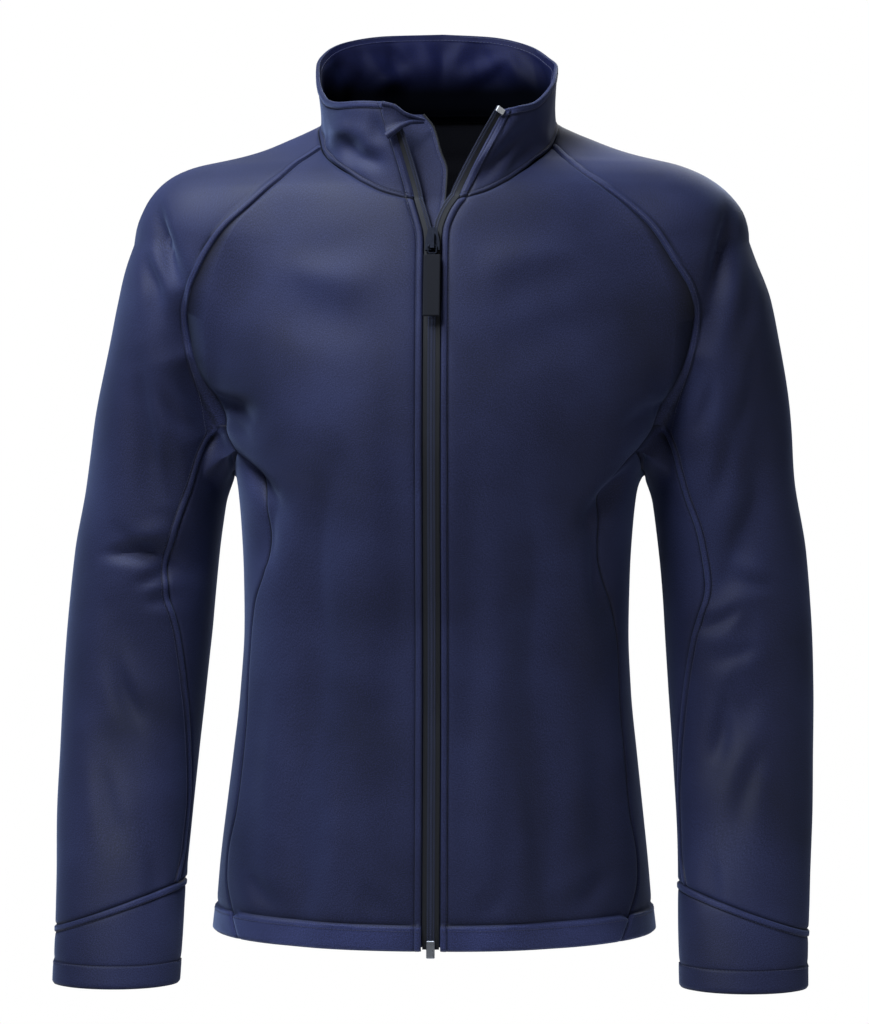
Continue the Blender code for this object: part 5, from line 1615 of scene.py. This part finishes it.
@dataclass
class Shell:
    """Body panels, sleeves and cuffs of the jacket."""

    finishes: "Wardrobe"
    lines: PatternLines = field(default_factory=PatternLines)

    def front(self, side: int, edges: Sides) -> Lattice:
        """One front panel's lattice."""
        lines = self.lines
        return lines.half_panel("front", -1, ZIP_EDGES[side], NECK_EDGES[side], lines.raglan_front, edges)

    def zip_edges(self) -> dict[int, Array]:
        """Points down each front's zip edge, by side."""
        plain = around(EdgeKind.FLAT, EdgeKind.FLAT, EdgeKind.FLAT, EdgeKind.FLAT)
        return {side: self.front(side, plain).points[:, 0] * [side, 1, 1] for side in SIDES.values()}

    def fronts(self) -> list[Piece]:
        """Both front panels."""
        edges = around(EdgeKind.ZIPPED, EdgeKind.JOINED, EdgeKind.JOINED, EdgeKind.HEMMED)
        made = []
        for name, side in SIDES.items():
            lattice = self.front(side, edges)
            sewn_to = ("side_panel_" + name, "sleeve_upper_" + name, "collar_outer")
            panel = ClothPanel("front_" + name, lattice, relief(lattice, edges), painted_light_and_shade(lattice, edges),
                               sewn_to, side)
            made += panel.build(self.finishes)
        return made

    def back(self) -> list[Piece]:
        """Back panel, whose two halves are alike but for their folds."""
        edges = around(EdgeKind.FLAT, EdgeKind.JOINED, EdgeKind.JOINED, EdgeKind.HEMMED)
        half = self.lines.half_panel("back", 1, None, 180, self.lines.raglan_back, edges)
        rise, tone = relief(half, edges), painted_light_and_shade(half, edges)
        other = half.points[:, :0:-1] * [-1, 1, 1]
        whole = Lattice(np.concatenate([other, half.points], 1), row_of_stitch=half.row_of_stitch)
        rise, tone = (np.concatenate([each[:, :0:-1], each], 1) for each in (rise, tone))
        sewn_to = ("side_panel_right", "side_panel_left", "collar_outer")
        return ClothPanel("back", whole, rise, tone, sewn_to).build(self.finishes)

    def sides_and_sleeves(self) -> list[Piece]:
        """Side panels, sleeves and cuffs of both sides."""
        joined, lapped = EdgeKind.JOINED, EdgeKind.LAPPED
        side_edges = around(joined, joined, joined, EdgeKind.HEMMED)
        upper_edges = around(lapped, lapped, joined, joined)
        under_edges = around(joined, joined, joined, joined)
        cuff_edges = around(EdgeKind.FLAT, EdgeKind.FLAT, lapped, EdgeKind.CUFFED)
        pattern = SleevePattern(self.lines)
        upper, under = pattern.upper(upper_edges), self.lines.under_sleeve(under_edges)
        cuff, panel = pattern.cuff(upper, under, cuff_edges), self.lines.side_panel(side_edges)
        parts = (("side_panel", panel, side_edges, ("front_{}", "back"), False),
                 ("sleeve_upper", upper, upper_edges, ("front_{}", "back", "collar_outer"), False),
                 ("sleeve_under", under, under_edges, ("sleeve_upper_{}", "side_panel_{}"), False),
                 ("cuff", cuff, cuff_edges, ("sleeve_upper_{}", "sleeve_under_{}"), True))
        made = []
        for name, lattice, edges, sewn_to, ring in parts:
            rise, tone = relief(lattice, edges), painted_light_and_shade(lattice, edges)
            for side_name, side in SIDES.items():
                joins = tuple(piece.format(side_name) for piece in sewn_to)
                panel = ClothPanel(f"{name}_{side_name}", lattice, rise, tone, joins, side, ring)
                made += panel.build(self.finishes)
        return made


@dataclass
class StandCollar:
    """Collar of two layers, turned over at its rim and at both front ends."""

    finishes: "Wardrobe"
    edges: Sides = field(default_factory=lambda: around(
        EdgeKind.ZIPPED, EdgeKind.ZIPPED, EdgeKind.COLLARED, EdgeKind.RIM))
    rim_end: float = 10.0  # angle round the neck where the rim ends
    lift: float = 0.8
    bow: float = 3.0  # how far it bows in between its seam and its rim
    middle_y: float = -8.0
    layer_gap: float = 0.3
    roll_radius: float = 1.9
    lining_slack: float = 2.2  # how far the lining's spare cloth stands in
    lining_depth: float = 1.4  # how much deeper than in the table its folds are
    lining_hold: float = 9.0  # distance from seam and rim over which they hold it flat
    step: float = 3.4
    roll_sides: int = 12

    def column(self, t: Array) -> tuple[Array, Array]:
        """Points of the collar seam and of the rim.

        Args:
            t: From -1 at the wearer's right end, by nought at the back, to 1 at the left end.

        Returns:
            A seam point and a rim point for each.
        """
        side = np.where(t > 0, 1.0, -1.0)
        edge = np.where(t > 0, NECK_EDGES[1], NECK_EDGES[-1])
        base = neck(180 - np.abs(t) * (180 - edge)) + [0, 0, self.lift]
        angle = 180 - np.abs(t) * (180 - self.rim_end)
        left, right = (np.stack([read(rim, c, angle, "angle") for c in "xyz"], -1)
                       for rim in (RIM_LEFT, RIM_RIGHT))
        rim = np.where(t[:, None] > 0, left, right)
        across = np.stack([side, np.ones_like(side), np.ones_like(side)], -1)
        return base * across, rim * across

    def lattice(self) -> Lattice:
        """Collar's points, whose rows run up from the seam to the rim."""
        left, right, top, bottom = (EDGES[kind].steps for kind in self.edges.values())
        fine = np.linspace(-1, 1, 600)
        run = lengths(sum(self.column(fine)) / 2)
        base, rim = self.column(np.interp(graded(run[-1], self.step, left, right), run, fine))
        share = shares(np.linalg.norm(rim - base, axis=-1), self.step, top, bottom)[..., None]
        grid = base * (1 - share) + rim * share
        level = unit((grid - [0, self.middle_y, 0]) * [1, 1, 0])
        return Lattice(grid - level * self.bow * np.sin(np.pi * np.sqrt(share))).stitched(self.edges)

    def outward(self, grid: Array) -> Array:
        """Unit direction out of the collar at each point of a grid."""
        n = unit(np.cross(np.gradient(grid, axis=0), np.gradient(grid, axis=1)))
        return n * np.sign(((grid - [0, self.middle_y, 0]) * n)[..., :2].sum(-1).mean())

    def build(self) -> list[Piece]:
        """Makes both layers, their rolled edge and their stitches."""
        lattice = self.lattice()
        grid, out = lattice.points, self.outward(lattice.points)
        rise = relief(lattice, self.edges)
        rise = rise + Drape([COLLAR_FOLDS], ripple=0.25, seed=3).height(grid, out)
        outer = grid + out * rise[..., None]
        depth = 2 * COLLAR_WALL + self.layer_gap
        sunk = Drape([LINING_FOLDS], deepening=1.5, ripple=0.4, seed=5).height(grid, -out)
        away = np.minimum(lattice.away("top")[0], lattice.away("bottom")[0])
        slack = np.maximum(self.lining_slack + self.lining_depth * sunk, 0)
        slack = slack * np.clip(away / self.lining_hold, 0, 1)
        inside = grid - out * (depth + slack - np.minimum(rise, 0))[..., None]
        front_faces, lining_faces = ([SHAPE.leaned(tucked(layer, False)) for layer in layers] for layers in (
            (outer, outer - out * COLLAR_WALL), (inside, inside + out * COLLAR_WALL)))
        front = shell("collar_outer_cloth", *front_faces, self.finishes.softshell, lattice.flat(),
                      tone=painted_light_and_shade(lattice, self.edges))
        lining = shell("collar_inner_cloth", *lining_faces, self.finishes.collar_inside, lattice.flat())
        dressed(front, ["collar_outer"])
        dressed(lining, ["collar_inner"])
        seam_row = lattice.row_of_stitch["bottom"]
        lines = [(outer[:, c], out[:, c]) for c in lattice.column_of_stitch.values()]
        lines += [(outer[r], out[r]) for r in lattice.row_of_stitch.values()]
        lines.append((inside[seam_row], -out[seam_row]))
        stitches = STITCHING.sew("collar_stitches", [(SHAPE.leaned(line), way) for line, way in lines],
                                 self.finishes.thread)
        roll = self.roll(outer, out, depth)
        lay(front, lattice)
        lay(lining, lattice)
        return [front, lining, stitches, roll]

    def roll(self, outer: Array, out: Array, depth: float) -> Piece:
        """Cloth turned over the rim and over both front ends."""
        path, up, deeper = (np.concatenate([grid[2:-1, left], grid[top, 1:-1], grid[-2:1:-1, right]])
                            for grid, left, top, right in ((outer, 0, -1, -1), (out, 0, -1, -1),
                                                           (outer, 6, -6, -6)))
        path = path - up * depth / 2 + unit(deeper - path) * self.roll_radius * 0.6
        sides = self.roll_sides
        points, quads = tube(SHAPE.leaned(path), up, self.roll_radius, sides)
        run, turn = lengths(path), np.arange(sides) * 2 * math.pi * self.roll_radius / sides
        flat = np.stack(np.broadcast_arrays(run[:, None], turn[None]), -1).reshape(-1, 2) * MM
        piece = mesh_piece("collar_edge_roll", points, quads, self.finishes.softshell, flat)
        return dressed(piece)


def centre_y(z: Array | float) -> Array:
    """How far forward the middle of the jacket's front lies at a height, collar too."""
    z = np.asarray(z, float)
    low = np.minimum(z, NECK_FRONT_Z)
    return SHAPE.seen(np.zeros(z.shape), low, -1)[..., 1] + np.maximum(z - NECK_FRONT_Z, 0) * COLLAR_LEAN_BACK


@dataclass
class NeckPieces:
    """Strip behind the zip and the cowl over the top of the wearer's right tape."""

    finishes: "Wardrobe"
    flap_width: float = 35.0
    flap_wall: float = 1.5
    binding_radius: float = 1.15
    stitch_in: float = 3.4
    guard_wall: float = 1.5
    guard_bulge: float = -1.5  # below nought, so that the cowl is hollow between its two folds
    guard_fold: tuple[float, float] = (3.2, 1.7)  # radius of the cowl's thick lower fold, left and right
    guard_rim: tuple[float, float] = (2.3, 1.5)  # the same at its rim

    def flap(self) -> list[Piece]:
        """Strip of cloth behind the zip, with a bound and stitched edge."""
        z = np.linspace(FLAP["z"].min(), FLAP["z"].max(), 190)[:, None]
        inwards = np.array([0, 0.8, 1.8, 2.8, self.stitch_in, 4.0, 5.2, 7, 10, 14, 18, 22, 26, 30,
                            self.flap_width])
        x = read(FLAP, "right", z) - inwards[None, ::-1]
        y = centre_y(z[:, 0])[:, None] + read(FLAP, "behind", z) + 0 * x
        grid = np.stack([x, y, z + 0 * x], -1)
        out = np.broadcast_to([0.0, -1.0, 0.0], grid.shape)
        dip = 0.35 * np.exp(-((inwards[::-1] - self.stitch_in) / 0.8) ** 2)
        wave = 0.5 * np.sin(z / 9.0) * np.sin(z / 23.0 + 1.0)
        face = grid - out * (dip[None] + wave * 0.4)[..., None]
        lattice = Lattice(grid)
        piece = shell("storm_flap_cloth", face, grid - out * self.flap_wall, self.finishes.softshell,
                      lattice.flat())
        dressed(piece, ["storm_flap"])
        column = len(inwards) - 1 - int(np.argmin(np.abs(inwards - self.stitch_in)))
        stitches = STITCHING.sew("storm_flap_stitches", [(face[:, column], out[:, column])],
                                 self.finishes.thread)
        edge = face[:, -1] + [-0.5, self.flap_wall / 2, 0]
        sides = 10
        binding = mesh_piece("storm_flap_binding", *tube(edge, out[:, -1], self.binding_radius, sides),
                             self.finishes.tape, along_tube(lengths(edge), sides))
        dressed(binding)
        lay(piece, lattice)
        return [piece, stitches, binding]

    def guard(self) -> list[Piece]:
        """Folded cowl over the top of the zip tape."""
        top, bottom = (through(np.stack([GUARD[k + end] for k in "xyz"], -1), 60) for end in "01")
        share = np.array([0, 0.03, 0.08, 0.16, 0.26, 0.38, 0.5, 0.62, 0.72, 0.8, 0.86, 0.91, 0.95, 0.98, 1.0])
        share = share[:, None, None]
        grid = top * (1 - share) + bottom * share - [0, 1, 0] * (self.guard_bulge * np.sin(np.pi * share))
        out = np.broadcast_to([0.0, -1.0, 0.0], grid.shape)
        dip = 0.45 * np.exp(-((share - 0.72) / 0.05) ** 2) - 0.5 * np.exp(-((share - 0.9) / 0.09) ** 2)
        face = grid - out * dip
        lattice = Lattice(grid)
        piece = shell("chin_guard_cloth", face, grid - out * self.guard_wall, self.finishes.softshell,
                      lattice.flat())
        dressed(piece, ["chin_guard"])
        sides, back = 12, np.array([0, self.guard_wall / 2, 0])
        (low, low_quads), (high, high_quads) = (
            tube(line + back, out[-1], np.linspace(*radius, len(line)), sides)
            for line, radius in ((face[-1], self.guard_fold), (face[0], self.guard_rim)))
        roll = mesh_piece("chin_guard_folds", np.concatenate([low, high]),
                          np.concatenate([low_quads, high_quads + len(low)]), self.finishes.softshell,
                          along_tube(np.concatenate([lengths(face[-1]), lengths(face[0])]), sides))
        dressed(roll)
        stitches = STITCHING.sew("chin_guard_stitches", [(face[8], out[8])], self.finishes.thread)
        lay(piece, lattice)
        return [piece, roll, stitches]


def rounded(name: str, node: Piece, material: Material, body: str, radius: float,
            steps: int = 3) -> Piece:
    """The form of one of the part's solids with its edges rounded off, in place of that solid.

    Args:
        name: The new piece's name.
        node: The solid.
        material: The finish.
        body: Body that the piece rides on.
        radius: How much of each edge is rounded, in millimetres.
        steps: Facets round each edge.

    Returns:
        The piece.
    """
    form = bmesh.new()
    form.from_mesh(node.data)
    form.transform(node.matrix_world)
    bmesh.ops.dissolve_limit(form, angle_limit=math.radians(4), verts=form.verts, edges=form.edges)
    sharp = [edge for edge in form.edges if edge.is_manifold and edge.calc_face_angle() > math.radians(25)]
    bmesh.ops.bevel(form, geom=sharp, offset=radius * MM, segments=steps, profile=0.5, affect="EDGES",
                    clamp_overlap=True)
    mesh = bpy.data.meshes.new(name)
    form.to_mesh(mesh)
    form.free()
    mesh.shade_smooth()
    mesh.set_sharp_from_angle(angle=math.radians(40))
    mesh.materials.append(material)
    made = bpy.data.objects.new(name, mesh)
    bpy.context.scene.collection.objects.link(made)
    return dressed(made, [node.name], body)


@dataclass
class ZipRow:
    """Both woven tapes of the reversed coil zip and its metal parts."""

    finishes: "Wardrobe"
    tape_gap: float = 0.9  # from the front's edge to the tape
    tape_shown: float = 8.2
    tape_recess: float = 1.0
    hidden_end: float = 20.0  # how much of the wearer's right tape the cowl hides
    tape_wall: float = 1.1
    tape_lift: float = 1.5  # how far above the hem the tapes start
    rib: Stitching = Stitching(long=2.3, pitch=1.5, thick=0.75, slant=52)

    def tapes(self, fronts: dict[int, Array], grid: Array, out: Array) -> list[Piece]:
        """Makes both tapes with the ribs of their coils.

        Args:
            fronts: Points of each front's zip edge, from the neck down, by side.
            grid: The collar's points.
            out: Its outward ways.

        Returns:
            The tapes and their ribs.
        """
        made = []
        for (name, side), column in zip(SIDES.items(), (0, -1)):
            front = fronts[side]
            points = np.concatenate([front[::-1], grid[1:, column]])
            ways = np.concatenate([SHAPE.outward(front[::-1]), out[1:, column]])
            if side < 0:
                keep = points[:, 2] < points[-1, 2] - self.hidden_end
                points, ways = points[keep], ways[keep]
            points[0] += (points[1] - points[0]) * self.tape_lift / (points[1, 2] - points[0, 2])
            across = unit(np.cross(np.gradient(points, axis=0), ways))
            across *= -side * np.sign(across[:, :1])
            width = np.minimum(self.tape_shown, (points[:, 0] * side - SEAM_GAP / 2) / np.abs(across[:, 0]))
            share = np.linspace(0, 1, 6)[None, :, None]
            near, far = points + across * self.tape_gap, points + across * width[:, None]
            face = near[:, None] * (1 - share) + far[:, None] * share - ways[:, None] * self.tape_recess
            lattice = Lattice(face)
            piece = shell(f"zip_tape_{name}_woven", face, face - ways[:, None] * self.tape_wall,
                          self.finishes.tape, lattice.flat())
            dressed(piece, ["zip_tape_" + name])
            lines = [(face[:, 5] * 0.8 + face[:, 4] * 0.2, ways), (face[:, 3] * 0.7 + face[:, 4] * 0.3, ways)]
            ribs = replace(self.rib, slant=self.rib.slant * side).sew(
                "zip_ribs_" + name, lines, self.finishes.tape_rib, "zip_tape")
            lay(piece, lattice)
            made += [piece, ribs]
        return made

    def metal(self, nodes: dict[str, Piece]) -> list[Piece]:
        """Finishes the slider and ring on the part's own solids, and rounds off the moulded and cast ends."""
        for name in ("zip_slider", "pull_ring"):
            nodes[name].data.materials.clear()
            nodes[name].data.materials.append(self.finishes.gunmetal)
        forms = (("pull_tab", "_moulded", self.finishes.rubber, PULL, 0.6, "pull_rubber"),
                 ("zip_top_stop", "_moulded", self.finishes.acetal, JACKET, 1.3, "stop_white"),
                 ("zip_bottom_box", "_cast", self.finishes.nickel, JACKET, 1.2, "box_steel"))
        return [rounded(name + way, nodes[name], material, body, radius)
                for name, way, material, body, radius, slot in forms]


@dataclass
class Studio:
    """Camera, lights, white surroundings and a pale floor."""

    target: tuple[float, float, float] = (-0.0041, 0.0, -0.333)
    azimuth: float = 3.0  # degrees towards the wearer's left
    distance: float = 3.0
    lens: float = 114.6
    floor_z: float = -1.05
    floor_radius: float = 1.5

    def camera(self) -> Piece:
        """Camera at the photo's angle."""
        turn = math.radians(self.azimuth)
        back = Vector((math.sin(turn), -math.cos(turn), 0.0))
        data = bpy.data.cameras.new("photo_camera")
        data.lens, data.sensor_width = self.lens, 36.0
        made = bpy.data.objects.new("photo_camera", data)
        made.location = Vector(self.target) + back * self.distance
        made.rotation_euler = (-back).to_track_quat("-Z", "Y").to_euler()
        bpy.context.scene.collection.objects.link(made)
        bpy.context.scene.camera = made
        return made

    def light(self, name: str, place: tuple[float, float, float], size: float, power: float,
              colour: str = "#ffffff") -> Piece:
        """Square soft light that faces the jacket."""
        data = bpy.data.lights.new(name, "AREA")
        data.size, data.energy = size, power
        data.color = lin(colour)[:3]
        made = bpy.data.objects.new(name, data)
        made.location = place
        made.rotation_euler = (Vector(self.target) - Vector(place)).to_track_quat("-Z", "Y").to_euler()
        bpy.context.scene.collection.objects.link(made)
        return made

    def surroundings(self, seen: str = "#ffffff", strength: float = 0.07) -> None:
        """World that the camera sees white and that lights the jacket dimly."""
        world = bpy.data.worlds.new("white_studio")
        bpy.context.scene.world = world
        world.use_nodes = True
        tree = world.node_tree
        dim = tree.nodes["Background"]
        dim.inputs["Color"].default_value, dim.inputs["Strength"].default_value = lin("#e8ecf6"), strength
        white, path = tree.nodes.new("ShaderNodeBackground"), tree.nodes.new("ShaderNodeLightPath")
        white.inputs["Color"].default_value = lin(seen)
        mix = tree.nodes.new("ShaderNodeMixShader")
        tree.links.new(path.outputs["Is Camera Ray"], mix.inputs["Fac"])
        tree.links.new(dim.outputs[0], mix.inputs[1])
        tree.links.new(white.outputs[0], mix.inputs[2])
        tree.links.new(mix.outputs[0], tree.nodes["World Output"].inputs["Surface"])

    def floor(self) -> Piece:
        """Pale round floor under the jacket."""
        turn = np.arange(96) * 2 * math.pi / 96
        points = np.stack([np.cos(turn) * self.floor_radius, np.sin(turn) * self.floor_radius,
                           np.full(96, self.floor_z)], -1)
        mesh = bpy.data.meshes.new("studio_floor")
        mesh.from_pydata(points.tolist(), [], [list(range(96))])
        made = bpy.data.objects.new("studio_floor", mesh)
        bpy.context.scene.collection.objects.link(made)
        mesh.materials.append(MouldedFinish("floor_paper_white", "#e6e6e6", "#ececec", roughness=0.9,
                                            grain_mm=4).make())
        return made

    def build(self) -> None:
        """Sets the whole studio."""
        self.camera()
        self.surroundings()
        self.light("key_upper_left", (-0.72, -1.15, 1.2), 0.6, 25, "#eef4ff")
        self.light("top_left", (-0.6, -0.35, 1.0), 0.5, 17, "#e2eeff")
        self.light("fill_right", (2.4, -1.6, 0.3), 2.0, 7.5)
        self.light("rim_back", (0.6, 2.4, 1.4), 1.8, 32)
        self.floor()
        view = bpy.context.scene.view_settings
        view.view_transform, view.look = "Standard", "None"


def main() -> None:
    """Builds the jacket in its sewing order, then the studio."""
    finishes = Wardrobe()
    body, collar, zip_row = Shell(finishes), StandCollar(finishes), ZipRow(finishes)
    made = body.fronts() + body.back() + body.sides_and_sleeves() + collar.build()
    neck_pieces = NeckPieces(finishes)
    made += neck_pieces.flap() + neck_pieces.guard()
    grid = collar.lattice().points
    made += zip_row.tapes(body.zip_edges(), grid, collar.outward(grid))
    made += zip_row.metal(frame["nodes"])
    for piece in made:
        log.info("%s: %d faces", piece.name, len(piece.data.polygons))
    Studio().build()


if __name__ == "__main__":
    logging.basicConfig(level=logging.INFO)
    main()
